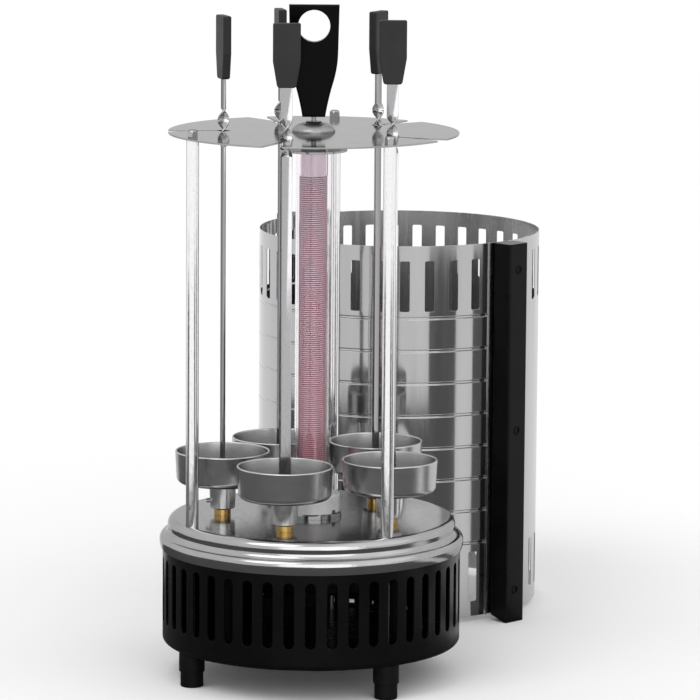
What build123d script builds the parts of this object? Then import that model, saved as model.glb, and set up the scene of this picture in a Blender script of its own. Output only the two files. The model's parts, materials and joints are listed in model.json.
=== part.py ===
from build123d import *
import math
import os

os.makedirs("parts", exist_ok=True)

# A vertical electric grill with five turning skewer stations round a tubular heater. Its
# cylindrical casing is lifted off and stands behind it, to the right.
# All sizes are in mm, heights are above the table. A bearing is the angle round an upright
# axis, counted from the front (-Y) towards the right (+X).

# ---------------------------------------------------------------- driving dimensions
SHEET_GAP = 0.3                 # clearance between loosely seated pieces
FIT_GAP = 0.05                  # radial clearance of running and pressed fits
THRUST_GAP = 0.25               # axial clearance under a turning piece

# drum, its bottom and the feet
DRUM_R = 107.8
DRUM_WALL = 1.2
DRUM_BOTTOM = 25.0
DRUM_CORNER_R = 4.0
DRUM_LIP = 12.0                 # width of the lip that carries the base plate
DRUM_SLOTS = 44
DRUM_SLOT_WIDTH = 7.5
DRUM_SLOT_LOW = 41.0
DRUM_SLOT_HIGH = 88.5
BASE_PLATE_THICK = 1.5
VENT_COUNT = 24
VENT_R = 3.0
VENT_RING_R = 40.0
LOW_VENT_WIDTH = 4.0            # small vents under the slots at the right of the back
LOW_VENT_HEIGHT = 2.8
LOW_VENT_Z = 31.5
LOW_VENT_BEARINGS = (106.0, 172.0)
LINER_R = 101.8                 # sheet that stands inside the drum, behind the works
LINER_TOP = 92.0
LINER_RELIEF_TOP = 34.8         # height of the relief over the small vents
LINER_RELIEF_MARGIN = 6.0       # how far the relief runs past the vents, in degrees
FOOT_R = 8.25
FOOT_SHOULDER_R = 9.25
FOOT_SHOULDER_Z = 11.4
FOOT_RECESS_R = 4.6
FOOT_RECESS_DEPTH = 8.0

# spun cover over the drum
COVER_TOP = 117.0
COVER_SHEET = 1.0
COVER_WALL_R = 104.0
COVER_SHOULDER_R = 5.5
GROOVE_Z = 108.4
GROOVE_R = 103.6
BEAD_R = 110.0
BEAD_Z = 100.4
BEAD_BOTTOM = 94.3
BEAD_RISE = 3.8                 # height of the bead's round above its widest point
HEM_TUCK = 1.1                  # how far the cover's hem draws in under the bead
WIRE_HOLE_R = 5.6

# posts, tie rods and the top plate
POST_BEARINGS = (-62.5, 34.0, 171.0)
POST_RING_R = 96.0
POST_R = 4.55
POST_BORE_R = 3.0
ROD_R = 2.0
ROD_CLEARANCE = 0.2
NUT_R = 4.0
NUT_HEIGHT = 3.2
CAP_NUT_R = 3.9
CAP_NUT_HEIGHT = 5.5
PLATE_TOP = 396.0
PLATE_SHEET = 1.2
PLATE_R = 104.2
SEAT_R = 5.0                    # round seat that a skewer turns in
NECK_WIDTH = 3.4
NECK_END_R = 77.0               # distance from the axis where the notch widens
MOUTH_NEAR = -6.0               # mouth corners, along the rim from the station's line
MOUTH_FAR = 10.0

# carry handle and what holds it
BOSS_R = 15.4
BOSS_HEIGHT = 6.3
BOSS_TOP_R = 6.2
WASHER_R = 5.6
WASHER_THICK = 0.9
STUD_R = 1.75
STUD_IN_HANDLE = 22.0
HANDLE_BOTTOM = 406.5
HANDLE_HEIGHT = 80.2
HANDLE_THICK = 8.0
HANDLE_BEVEL = 1.2
HANDLE_HALF_WIDTH = 18.0
HANDLE_WAIST_HALF = 17.2
HANDLE_WAIST_DROP = 34.7        # below the handle's top
HANDLE_KNEE_HALF = 14.2
HANDLE_KNEE_RISE = 26.0         # above the handle's bottom
HANDLE_FOOT_HALF = 8.15
HANDLE_HOLE_R = 11.4
HANDLE_HOLE_DROP = 15.1

# heater
RING_R = 21.6
RING_HEIGHT = 3.6
CERAMIC_R = 20.5
CERAMIC_HEIGHT = 13.0
CERAMIC_POCKET = 4.0
QUARTZ_R = 12.7
QUARTZ_WALL = 0.9
CORE_R = 9.3
CORE_BORE_R = 2.0
COIL_WIRE_R = 0.9
COIL_GAP = 0.3                  # between the coil and the core it is wound on
COIL_TURNS = 24
COIL_LOW = 156.0
COIL_HIGH = 364.0
COIL_BEND_R = 2.0
HEATER_TOP = 382.0
TOP_DISC_R = 24.3
TOP_DISC_THICK = 1.5
INSULATOR_R = 9.0

# turning stations
STATION_BEARINGS = (-90.0, -17.0, 60.0, 134.0, 202.5)
STATION_RING_R = 64.5
SPINDLE_R = 4.0
BUSHING_FLANGE_R = 6.0
BUSHING_SLEEVE_R = 5.1
BUSHING_RISE = 4.8
BUSHING_DROP = 9.0
HUB_FOOT_R = 9.0
HUB_TAPER = 2.7                 # degrees that the hub widens on each side as it rises
HUB_HEIGHT = 18.65
HUB_SPIGOT_R = 7.0
HUB_BORE_DEPTH = 8.6
HUB_WEB = 0.8                   # between the spindle's bore and the skewer's socket
SET_SCREW_R = 1.5
SET_SCREW_RISE = 5.8
SET_SCREW_PROUD = 3.6           # how far the set screw stands out of the hub's side
CUP_R = 34.3
CUP_HEIGHT = 23.5
CUP_WALL = 0.8
CUP_TAPER = 3.0                 # degrees that the cup widens on each side as it rises
CUP_CORNER_R = 4.5

# skewers
BLADE_WIDTH = 8.4
BLADE_THICK = 1.6
BLADE_IN_GRIP = 9.0
SOCKET_GAP = 0.2
TWIST_LOW = 384.5
TWIST_HIGH = 411.6
TWIST_TURN = 360.0
TWIST_STEPS = 18
POINT_LENGTH = 6.0
POINT_WIDTH = 4.0
GRIP_WIDTH = 19.5
GRIP_THICK = 6.0
GRIP_BOTTOM = 433.2
GRIP_LENGTH = 45.3
GRIP_FOOT_WIDTH = 13.2
GRIP_SHOULDER = 18.5            # height of the tapered foot
GRIP_EDGE = 1.2
GRIP_FACINGS = (-72.0, 180.0, 0.0, 62.0, -79.0)   # bearing that each grip's flat side faces

# gear train
SUN_TEETH = 47
SPINDLE_TEETH = 18
PINION_TEETH = 16
GEAR_FACE = 8.0
GEAR_BACKLASH = 0.4
GEAR_PRESSURE_ANGLE = 20.0
GEAR_ADDENDUM = 0.9             # in modules
GEAR_DEDENDUM = 1.25
COLLAR_RISE = 1.0
SUN_COLLAR_R = 14.0
SUN_HOLES = 6
SUN_HOLE_R = 8.0
SUN_HOLE_RING_R = 27.0
SPINDLE_COLLAR_R = 7.0
DECK_R = 90.0
DECK_TOP = 93.5
DECK_THICK = 1.5
DECK_BOSS_R = 7.0
DECK_BOSS_DROP = 4.5
HUB_TUBE_R = 9.0
HUB_TUBE_BORE_R = 6.0
PILLAR_R = 4.0
PILLAR_COUNT = 4
PILLAR_RING_R = 84.0
MOTOR_BEARING = 21.5
MOTOR_RING_R = 45.0
MOTOR_R = 25.0
MOTOR_HEIGHT = 21.0
MOTOR_LUG_R = 5.0
MOTOR_LUG_REACH = 30.0
MOTOR_LUG_THICK = 1.5
MOTOR_SHAFT_R = 3.0
MOTOR_SHAFT_IN_BODY = 10.0
MOTOR_SCREW_R = 1.5
SCREW_HEAD_R = 2.8
SCREW_HEAD_HEIGHT = 2.0

# electrical entry
ENTRY_BEARING = 200.45
GLAND_Z = 34.6
GLAND_R = 4.5
GLAND_BORE_R = 3.3
GLAND_FLANGE_R = 6.2
GLAND_FLANGE_THICK = 3.0
GLAND_NUT_THICK = 4.0
TERMINAL_RING_R = 78.0
TERMINAL_SIZE = (14.0, 32.0, 14.0)
TERMINAL_WAYS = 3
TERMINAL_SCREW_R = 2.4

# casing
CASING_OFFSET_X = 66.0          # from the grill's axis to the casing's axis
CASING_OFFSET_Y = 267.0
CASING_R = 108.5
CASING_SHEET = 0.5
CASING_BOTTOM = 5.0
CASING_HEIGHT = 287.0
SEAM_BEARING = 38.0
SEAM_LIP = 1.1                  # height of the turned-out edges at the seams
CASING_SLOTS = 36
CASING_SLOT_SHIFT = 1.5         # bearing of the slot nearest the front
CASING_SLOT_WIDTH = 7.4
CASING_SLOT_LENGTH = 38.5
CASING_SLOT_CORNER_R = 1.2
CASING_SLOT_MARGIN = 11.5
RIB_COUNT = 8
RIB_FIRST = 55.0                # depth of the first rib below the rim
RIB_PITCH = 25.0
RIB_HALF_WIDTH = 1.6
RIB_DEPTH = 0.9                 # the ribs are pressed inward
RIB_CREST = 1.0                 # width of a rib's flat crest
GRIP_BAR_BEARING = 45.0
GRIP_BAR_WIDTH = 20.0
GRIP_BAR_STANDOFF = 1.3         # from the casing's sheet
GRIP_BAR_DEPTH = 16.6
GRIP_BAR_SLANT = 5.0
GRIP_BAR_CORNER_R = 1.5
GRIP_BAR_SCREW_MARGIN = 20.0
GRIP_BAR_BOSS_R = 4.0

# ---------------------------------------------------------------- derived places
GRILL_X = (BEAD_R - CASING_OFFSET_X - CASING_R) / 2
GRILL_Y = (BEAD_R - CASING_OFFSET_Y - CASING_R) / 2
GRILL = (GRILL_X, GRILL_Y)
CASING = (GRILL_X + CASING_OFFSET_X, GRILL_Y + CASING_OFFSET_Y)
GRILL_AXIS = Axis((*GRILL, 0), (0, 0, 1))
CASING_AXIS = Axis((*CASING, 0), (0, 0, 1))

DRUM_INNER_R = DRUM_R - DRUM_WALL
DRUM_TOP = BEAD_Z + BEAD_RISE - COVER_SHEET - 2 * SHEET_GAP
BASE_TOP = DRUM_BOTTOM + DRUM_WALL + BASE_PLATE_THICK
COVER_UNDERSIDE = COVER_TOP - COVER_SHEET
PLATE_UNDERSIDE = PLATE_TOP - PLATE_SHEET
CERAMIC_BOTTOM = COVER_TOP + RING_HEIGHT
CERAMIC_TOP = CERAMIC_BOTTOM + CERAMIC_HEIGHT
POCKET_FLOOR = CERAMIC_TOP - CERAMIC_POCKET
COIL_R = CORE_R + COIL_GAP + COIL_WIRE_R
BUSHING_TOP = COVER_TOP + BUSHING_RISE
HUB_BOTTOM = BUSHING_TOP + THRUST_GAP
HUB_TOP = HUB_BOTTOM + HUB_HEIGHT
SPINDLE_TOP = HUB_BOTTOM + HUB_BORE_DEPTH - FIT_GAP
SOCKET_FLOOR = HUB_BOTTOM + HUB_BORE_DEPTH + HUB_WEB
BLADE_TIP = SOCKET_FLOOR + THRUST_GAP
DECK_UNDERSIDE = DECK_TOP - DECK_THICK
GEAR_BOTTOM = DECK_TOP + THRUST_GAP + COLLAR_RISE
GEAR_TOP = GEAR_BOTTOM + GEAR_FACE
MODULE = 2 * STATION_RING_R / (SUN_TEETH + SPINDLE_TEETH)
PINION_RING_R = MODULE * (SUN_TEETH + PINION_TEETH) / 2
CASING_TOP = CASING_BOTTOM + CASING_HEIGHT
GRIP_BAR_INNER_R = CASING_R + GRIP_BAR_STANDOFF
HANDLE_TOP = HANDLE_BOTTOM + HANDLE_HEIGHT
HANDLE_WAIST_Z = HANDLE_TOP - HANDLE_WAIST_DROP
HANDLE_KNEE_Z = HANDLE_BOTTOM + HANDLE_KNEE_RISE
HANDLE_HOLE_Z = HANDLE_TOP - HANDLE_HOLE_DROP
GRIP_TOP = GRIP_BOTTOM + GRIP_LENGTH
BLADE_TOP = GRIP_BOTTOM + BLADE_IN_GRIP
HUB_TOP_R = HUB_FOOT_R + HUB_HEIGHT * math.tan(math.radians(HUB_TAPER))
NUT_TOP = FOOT_RECESS_DEPTH


# ---------------------------------------------------------------- planes
def outward(bearing):
    """Unit vector that points away from an upright axis at a bearing."""
    angle = math.radians(bearing)
    return Vector(math.sin(angle), -math.cos(angle), 0)


def flat(centre, z=0.0, bearing=0.0, radius=0.0, turn=0.0):
    """Level plane at height z, out at a bearing from an axis. Its X points outward."""
    origin = Vector(*centre, z) + outward(bearing) * radius
    return Plane(origin=origin, x_dir=outward(bearing + turn), z_dir=(0, 0, 1))


def section(centre, bearing=90.0):
    """Upright plane through an axis: its X is the radius, its Y the height."""
    return Plane(
        origin=(*centre, 0), x_dir=outward(bearing), z_dir=outward(bearing - 90)
    )


def facing(centre, bearing, radius, z):
    """Upright plane whose normal points outward, at a radius and height."""
    origin = Vector(*centre, z) + outward(bearing) * radius
    return Plane(origin=origin, x_dir=outward(bearing + 90), z_dir=outward(bearing))


ORIGIN = (0.0, 0.0)
UPRIGHT = Axis((0, 0, 0), (0, 0, 1))
POST_PLACES = [flat(GRILL, 0, bearing, POST_RING_R) for bearing in POST_BEARINGS]
STATION_PLACES = [
    flat(GRILL, 0, bearing, STATION_RING_R) for bearing in STATION_BEARINGS
]


def finish(piece, label):
    """Name a finished piece and write it."""
    piece.part.label = label
    export_step(piece.part, f"parts/{label}.step")


# ---------------------------------------------------------------- drum and base
with BuildPart() as drum_slot:
    with BuildSketch(facing(ORIGIN, 0, DRUM_R - 2 * DRUM_WALL, 0)):
        with Locations((0, (DRUM_SLOT_LOW + DRUM_SLOT_HIGH) / 2)):
            SlotOverall(DRUM_SLOT_HIGH - DRUM_SLOT_LOW, DRUM_SLOT_WIDTH, rotation=90)
    extrude(amount=3 * DRUM_WALL)

slot_pitch = 360 / DRUM_SLOTS
low_vent_bearings = [
    slot_pitch * index
    for index in range(DRUM_SLOTS)
    if LOW_VENT_BEARINGS[0] < slot_pitch * index < LOW_VENT_BEARINGS[1]
]

with BuildPart() as drum_housing:
    with BuildSketch(section(GRILL)) as drum_profile:
        with BuildLine():
            Polyline(
                (DRUM_INNER_R - DRUM_LIP, DRUM_BOTTOM),
                (DRUM_R, DRUM_BOTTOM),
                (DRUM_R, DRUM_TOP),
                (DRUM_INNER_R, DRUM_TOP),
                (DRUM_INNER_R, DRUM_BOTTOM + DRUM_WALL),
                (DRUM_INNER_R - DRUM_LIP, DRUM_BOTTOM + DRUM_WALL),
                close=True,
            )
        make_face()
        outer_corner = drum_profile.vertices().sort_by_distance((DRUM_R, DRUM_BOTTOM))[0]
        fillet(outer_corner, DRUM_CORNER_R)
        inner_corner = drum_profile.vertices().sort_by_distance(
            (DRUM_INNER_R, DRUM_BOTTOM + DRUM_WALL)
        )[0]
        fillet(inner_corner, DRUM_CORNER_R - DRUM_WALL)
    revolve(axis=GRILL_AXIS)
    with Locations(flat(GRILL)):
        with PolarLocations(0, DRUM_SLOTS):
            add(drum_slot.part, mode=Mode.SUBTRACT)
    for vent_bearing in low_vent_bearings:
        with BuildSketch(facing(GRILL, vent_bearing, DRUM_R - 2 * DRUM_WALL, LOW_VENT_Z)):
            Rectangle(LOW_VENT_WIDTH, LOW_VENT_HEIGHT)
        extrude(amount=3 * DRUM_WALL, mode=Mode.SUBTRACT)
    with BuildSketch(facing(GRILL, ENTRY_BEARING, DRUM_R - 2 * DRUM_WALL, GLAND_Z)):
        Circle(GLAND_R + FIT_GAP)
    extrude(amount=3 * DRUM_WALL, mode=Mode.SUBTRACT)
    with BuildSketch(*[place.offset(DRUM_BOTTOM) for place in POST_PLACES]):
        Circle(ROD_R + ROD_CLEARANCE)
    extrude(amount=DRUM_WALL, mode=Mode.SUBTRACT)
finish(drum_housing, "drum_housing")

with BuildPart() as base_plate:
    with BuildSketch(flat(GRILL, DRUM_BOTTOM + DRUM_WALL)):
        Circle(DRUM_INNER_R - DRUM_CORNER_R)
        with PolarLocations(VENT_RING_R, VENT_COUNT):
            Circle(VENT_R, mode=Mode.SUBTRACT)
    extrude(amount=BASE_PLATE_THICK)
    with BuildSketch(*[place.offset(DRUM_BOTTOM) for place in POST_PLACES]):
        Circle(ROD_R + ROD_CLEARANCE)
    extrude(amount=BASE_TOP - DRUM_BOTTOM, mode=Mode.SUBTRACT)
finish(base_plate, "base_plate")

with BuildPart() as inner_liner:
    with BuildSketch(section(GRILL, 90)):
        with Locations((LINER_R - DRUM_WALL / 2, (BASE_TOP + LINER_TOP) / 2)):
            Rectangle(DRUM_WALL, LINER_TOP - BASE_TOP)
    revolve(axis=GRILL_AXIS, revolution_arc=180)
    relief_start = LOW_VENT_BEARINGS[0] - LINER_RELIEF_MARGIN
    relief_end = LOW_VENT_BEARINGS[1] + LINER_RELIEF_MARGIN
    with BuildSketch(section(GRILL, relief_start)):
        with Locations((LINER_R, (BASE_TOP + LINER_RELIEF_TOP) / 2)):
            Rectangle(4 * DRUM_WALL, LINER_RELIEF_TOP - BASE_TOP)
    revolve(
        axis=GRILL_AXIS, revolution_arc=relief_end - relief_start, mode=Mode.SUBTRACT
    )
    with BuildSketch(facing(GRILL, ENTRY_BEARING, LINER_R - 2 * DRUM_WALL, GLAND_Z)):
        Circle(GLAND_R)
    extrude(amount=3 * DRUM_WALL, mode=Mode.SUBTRACT)
finish(inner_liner, "inner_liner")

with BuildPart() as foot:
    with BuildSketch():
        Circle(FOOT_R)
    extrude(amount=FOOT_SHOULDER_Z)
    with BuildSketch(Plane.XY.offset(FOOT_SHOULDER_Z)):
        Circle(FOOT_SHOULDER_R)
    extrude(amount=DRUM_BOTTOM - FOOT_SHOULDER_Z)
    fillet(foot.edges().filter_by(GeomType.CIRCLE).group_by(Axis.Z)[0], DRUM_WALL)
    with BuildSketch():
        Circle(FOOT_RECESS_R)
    extrude(amount=FOOT_RECESS_DEPTH, mode=Mode.SUBTRACT)
    with BuildSketch():
        Circle(ROD_R + ROD_CLEARANCE)
    extrude(amount=DRUM_BOTTOM, mode=Mode.SUBTRACT)

with BuildPart() as feet:
    with Locations(*POST_PLACES):
        add(foot.part)
finish(feet, "feet")

with BuildPart() as hex_nut:
    with BuildSketch(Plane.XY.offset(NUT_TOP - NUT_HEIGHT)):
        RegularPolygon(NUT_R, 6)
        Circle(ROD_R, mode=Mode.SUBTRACT)
    extrude(amount=NUT_HEIGHT)

with BuildPart() as foot_nuts:
    with Locations(*POST_PLACES):
        add(hex_nut.part)
finish(foot_nuts, "foot_nuts")


# ---------------------------------------------------------------- cover and posts
with BuildPart() as base_cover:
    for inset, skin_mode in ((0, Mode.ADD), (COVER_SHEET, Mode.SUBTRACT)):
        skin_top = COVER_TOP - inset
        wall = COVER_WALL_R - inset
        shoulder = COVER_SHOULDER_R - inset
        groove = GROOVE_R - inset
        bead = BEAD_R - inset
        bead_top = BEAD_Z + BEAD_RISE - inset
        flare_r = bead - BEAD_RISE / 2
        hem_r = bead - HEM_TUCK
        with BuildSketch(section(GRILL)):
            with BuildLine():
                Polyline((0, BEAD_BOTTOM), (0, skin_top), (wall - shoulder, skin_top))
                RadiusArc((wall - shoulder, skin_top), (wall, skin_top - shoulder), shoulder)
                Line((wall, skin_top - shoulder), (groove, GROOVE_Z))
                ThreePointArc(
                    (groove, GROOVE_Z),
                    (groove + 1.3, bead_top + 1.5),
                    (flare_r, bead_top),
                )
                TangentArc((bead, BEAD_Z), (flare_r, bead_top), tangent=(0, 1))
                TangentArc((bead, BEAD_Z), (hem_r, BEAD_BOTTOM), tangent=(0, -1))
                Line((hem_r, BEAD_BOTTOM), (0, BEAD_BOTTOM))
            make_face()
        revolve(axis=GRILL_AXIS, mode=skin_mode)
    with BuildSketch(flat(GRILL, COVER_TOP)):
        Circle(WIRE_HOLE_R)
    with BuildSketch(*[place.offset(COVER_TOP) for place in POST_PLACES]):
        Circle(ROD_R + ROD_CLEARANCE)
    with BuildSketch(*[place.offset(COVER_TOP) for place in STATION_PLACES]):
        Circle(BUSHING_SLEEVE_R + FIT_GAP)
    extrude(amount=-2 * COVER_SHEET, mode=Mode.SUBTRACT)
finish(base_cover, "base_cover")

with BuildPart() as post:
    with BuildSketch(Plane.XY.offset(COVER_TOP)):
        Circle(POST_R)
        Circle(POST_BORE_R, mode=Mode.SUBTRACT)
    extrude(amount=PLATE_UNDERSIDE - COVER_TOP)

with BuildPart() as posts:
    with Locations(*POST_PLACES):
        add(post.part)
finish(posts, "posts")

with BuildPart() as tie_rod:
    with BuildSketch(Plane.XY.offset(NUT_TOP - NUT_HEIGHT)):
        Circle(ROD_R - FIT_GAP / 2)
    extrude(amount=PLATE_TOP + CAP_NUT_HEIGHT / 2 - NUT_TOP + NUT_HEIGHT)

with BuildPart() as tie_rods:
    with Locations(*POST_PLACES):
        add(tie_rod.part)
finish(tie_rods, "tie_rods")

with BuildPart() as cap_nut:
    with BuildSketch(Plane.XY.offset(PLATE_TOP)):
        RegularPolygon(CAP_NUT_R, 6)
    extrude(amount=CAP_NUT_HEIGHT)
    with BuildSketch(Plane.XZ):
        with BuildLine():
            half_height = CAP_NUT_HEIGHT / 2
            Polyline(
                (0, PLATE_TOP),
                (CAP_NUT_R, PLATE_TOP),
                (CAP_NUT_R, PLATE_TOP + half_height),
            )
            ThreePointArc(
                (CAP_NUT_R, PLATE_TOP + half_height),
                (CAP_NUT_R * 0.8, PLATE_TOP + 1.75 * half_height),
                (0, PLATE_TOP + CAP_NUT_HEIGHT),
            )
            Line((0, PLATE_TOP + CAP_NUT_HEIGHT), (0, PLATE_TOP))
        make_face()
    revolve(axis=UPRIGHT, mode=Mode.INTERSECT)
    with BuildSketch(Plane.XY.offset(PLATE_TOP)):
        Circle(ROD_R)
    extrude(amount=CAP_NUT_HEIGHT / 2 + FIT_GAP, mode=Mode.SUBTRACT)

with BuildPart() as cap_nuts:
    with Locations(*POST_PLACES):
        add(cap_nut.part)
finish(cap_nuts, "cap_nuts")

# ---------------------------------------------------------------- top plate and handle
with BuildPart() as top_plate:
    with BuildSketch(flat(GRILL, PLATE_UNDERSIDE)):
        Circle(PLATE_R)
        Circle(STUD_R + ROD_CLEARANCE, mode=Mode.SUBTRACT)
    extrude(amount=PLATE_SHEET)
    with BuildSketch(*[place.offset(PLATE_UNDERSIDE) for place in POST_PLACES]):
        Circle(ROD_R + ROD_CLEARANCE)
    with BuildSketch(*[place.offset(PLATE_UNDERSIDE) for place in STATION_PLACES]):
        neck_end = NECK_END_R - STATION_RING_R
        beyond_rim = PLATE_R - STATION_RING_R + NECK_WIDTH
        Circle(SEAT_R)
        with BuildLine():
            Polyline(
                (0, -NECK_WIDTH / 2),
                (neck_end, -NECK_WIDTH / 2),
                (beyond_rim, MOUTH_NEAR),
                (beyond_rim, MOUTH_FAR),
                (neck_end, NECK_WIDTH / 2),
                (0, NECK_WIDTH / 2),
                close=True,
            )
        make_face()
    extrude(amount=PLATE_SHEET, mode=Mode.SUBTRACT)
finish(top_plate, "top_plate")

with BuildPart() as dome_boss:
    with BuildSketch(section(GRILL)):
        with BuildLine():
            Polyline(
                (STUD_R + ROD_CLEARANCE, PLATE_TOP + BOSS_HEIGHT),
                (STUD_R + ROD_CLEARANCE, PLATE_TOP),
                (BOSS_R, PLATE_TOP),
                (BOSS_R, PLATE_TOP + PLATE_SHEET),
            )
            ThreePointArc(
                (BOSS_R, PLATE_TOP + PLATE_SHEET),
                ((BOSS_R + BOSS_TOP_R) / 2 + 0.6, PLATE_TOP + 0.78 * BOSS_HEIGHT),
                (BOSS_TOP_R, PLATE_TOP + BOSS_HEIGHT),
            )
            Line(
                (BOSS_TOP_R, PLATE_TOP + BOSS_HEIGHT),
                (STUD_R + ROD_CLEARANCE, PLATE_TOP + BOSS_HEIGHT),
            )
        make_face()
    revolve(axis=GRILL_AXIS)
finish(dome_boss, "dome_boss")

with BuildPart() as boss_washer:
    with BuildSketch(flat(GRILL, PLATE_TOP + BOSS_HEIGHT)):
        Circle(WASHER_R)
        Circle(STUD_R + ROD_CLEARANCE, mode=Mode.SUBTRACT)
    extrude(amount=WASHER_THICK)
finish(boss_washer, "boss_washer")

with BuildPart() as carry_handle:
    with BuildSketch(facing(GRILL, 0, -HANDLE_THICK / 2, 0)):
        with BuildLine() as handle_side:
            Line((0, HANDLE_TOP), (HANDLE_HALF_WIDTH, HANDLE_TOP))
            Line((HANDLE_HALF_WIDTH, HANDLE_TOP), (HANDLE_WAIST_HALF, HANDLE_WAIST_Z))
            ThreePointArc(
                (HANDLE_WAIST_HALF, HANDLE_WAIST_Z),
                (HANDLE_WAIST_HALF - 0.9, (HANDLE_WAIST_Z + HANDLE_KNEE_Z) / 2),
                (HANDLE_KNEE_HALF, HANDLE_KNEE_Z),
            )
            ThreePointArc(
                (HANDLE_KNEE_HALF, HANDLE_KNEE_Z),
                (HANDLE_KNEE_HALF - 3.5, (HANDLE_KNEE_Z + HANDLE_BOTTOM) / 2),
                (HANDLE_FOOT_HALF, HANDLE_BOTTOM),
            )
            Line((HANDLE_FOOT_HALF, HANDLE_BOTTOM), (0, HANDLE_BOTTOM))
            mirror(about=Plane.YZ)
        make_face()
    extrude(amount=HANDLE_THICK)
    handle_faces = carry_handle.faces().filter_by(Axis.Y)
    chamfer(handle_faces.edges(), HANDLE_BEVEL)
    with BuildSketch(facing(GRILL, 0, -HANDLE_THICK / 2, HANDLE_HOLE_Z)):
        Circle(HANDLE_HOLE_R)
    extrude(amount=HANDLE_THICK, mode=Mode.SUBTRACT)
    with BuildSketch(flat(GRILL, HANDLE_BOTTOM)):
        Circle(STUD_R + FIT_GAP)
    extrude(amount=STUD_IN_HANDLE + FIT_GAP, mode=Mode.SUBTRACT)
finish(carry_handle, "carry_handle")

with BuildPart() as handle_stud:
    with BuildSketch(flat(GRILL, HEATER_TOP + TOP_DISC_THICK)):
        Circle(STUD_R)
    extrude(amount=HANDLE_BOTTOM + STUD_IN_HANDLE - HEATER_TOP - TOP_DISC_THICK)
finish(handle_stud, "handle_stud")

# ---------------------------------------------------------------- heater
with BuildPart() as heater_seat_ring:
    with BuildSketch(flat(GRILL, COVER_TOP)):
        Circle(RING_R)
        Circle(WIRE_HOLE_R, mode=Mode.SUBTRACT)
    extrude(amount=RING_HEIGHT)
    chamfer(heater_seat_ring.edges().group_by(Axis.Z)[-1].sort_by(SortBy.RADIUS)[-1], 0.8)
finish(heater_seat_ring, "heater_seat_ring")

with BuildPart() as heater_ceramic_base:
    with BuildSketch(flat(GRILL, CERAMIC_BOTTOM)):
        Circle(CERAMIC_R)
        Circle(CORE_BORE_R, mode=Mode.SUBTRACT)
    extrude(amount=CERAMIC_HEIGHT)
    fillet(
        heater_ceramic_base.edges().group_by(Axis.Z)[-1].sort_by(SortBy.RADIUS)[-1], 1.5
    )
    with BuildSketch(flat(GRILL, POCKET_FLOOR)):
        Circle(QUARTZ_R + FIT_GAP)
    extrude(amount=CERAMIC_POCKET, mode=Mode.SUBTRACT)
finish(heater_ceramic_base, "heater_ceramic_base")

with BuildPart() as quartz_tube:
    with BuildSketch(flat(GRILL, POCKET_FLOOR)):
        Circle(QUARTZ_R)
        Circle(QUARTZ_R - QUARTZ_WALL, mode=Mode.SUBTRACT)
    extrude(amount=HEATER_TOP - POCKET_FLOOR)
finish(quartz_tube, "quartz_tube")

with BuildPart() as heater_core:
    with BuildSketch(flat(GRILL, POCKET_FLOOR)):
        Circle(CORE_R)
        Circle(CORE_BORE_R, mode=Mode.SUBTRACT)
    extrude(amount=HEATER_TOP - POCKET_FLOOR)
finish(heater_core, "heater_core")

COIL_PITCH = (COIL_HIGH - COIL_LOW) / COIL_TURNS
COIL_SLOPE = math.atan2(COIL_PITCH, 2 * math.pi * COIL_R)


def coil_point(turns):
    """Centre of the coil's wire after a number of turns."""
    angle = 2 * math.pi * turns
    return Vector(
        GRILL_X + COIL_R * math.cos(angle),
        GRILL_Y + COIL_R * math.sin(angle),
        COIL_LOW + COIL_PITCH * turns,
    )


def coil_tangent(turns):
    """Direction of the coil's wire after a number of turns."""
    angle = 2 * math.pi * turns
    level = math.cos(COIL_SLOPE)
    return Vector(
        -math.sin(angle) * level, math.cos(angle) * level, math.sin(COIL_SLOPE)
    )


def biarc_joint(start, start_tangent, end, end_tangent):
    """Where two arcs with equal arms meet between two tangents, and the tangent there."""
    chord = end - start
    tangents = start_tangent + end_tangent
    curvature = 2 * (1 - start_tangent.dot(end_tangent))
    along = chord.dot(tangents)
    arm = (math.sqrt(along**2 + curvature * chord.dot(chord)) - along) / curvature
    near = start + start_tangent * arm
    far = end - end_tangent * arm
    return (near + far) / 2, (far - near).normalized()


def coil_lead(turns, direction):
    """Where the wire's upright lead begins to bend into the winding."""
    tangent = coil_tangent(turns)
    around = Vector(tangent.X, tangent.Y, 0).normalized()
    aside = COIL_BEND_R * (1 - math.sin(COIL_SLOPE))
    rise = COIL_BEND_R * math.cos(COIL_SLOPE)
    return coil_point(turns) + (around * aside + Vector(0, 0, rise)) * direction


lead_low = coil_lead(0, -1)
lead_high = coil_lead(COIL_TURNS, 1)
with BuildPart() as heater_spiral:
    with BuildLine() as coil_path:
        Line((lead_low.X, lead_low.Y, POCKET_FLOOR), lead_low)
        TangentArc(lead_low, coil_point(0), tangent=(0, 0, 1))
        for half_turn in range(2 * COIL_TURNS):
            start = coil_point(half_turn / 2)
            start_tangent = coil_tangent(half_turn / 2)
            end = coil_point(half_turn / 2 + 0.5)
            end_tangent = coil_tangent(half_turn / 2 + 0.5)
            joint, joint_tangent = biarc_joint(start, start_tangent, end, end_tangent)
            TangentArc(start, joint, tangent=start_tangent)
            TangentArc(joint, end, tangent=joint_tangent)
        TangentArc(coil_point(COIL_TURNS), lead_high, tangent=coil_tangent(COIL_TURNS))
        Line(lead_high, (lead_high.X, lead_high.Y, HEATER_TOP))
    with BuildSketch(Plane(origin=(lead_low.X, lead_low.Y, POCKET_FLOOR))):
        Circle(COIL_WIRE_R)
    sweep(path=coil_path.line)
finish(heater_spiral, "heater_spiral")

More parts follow.
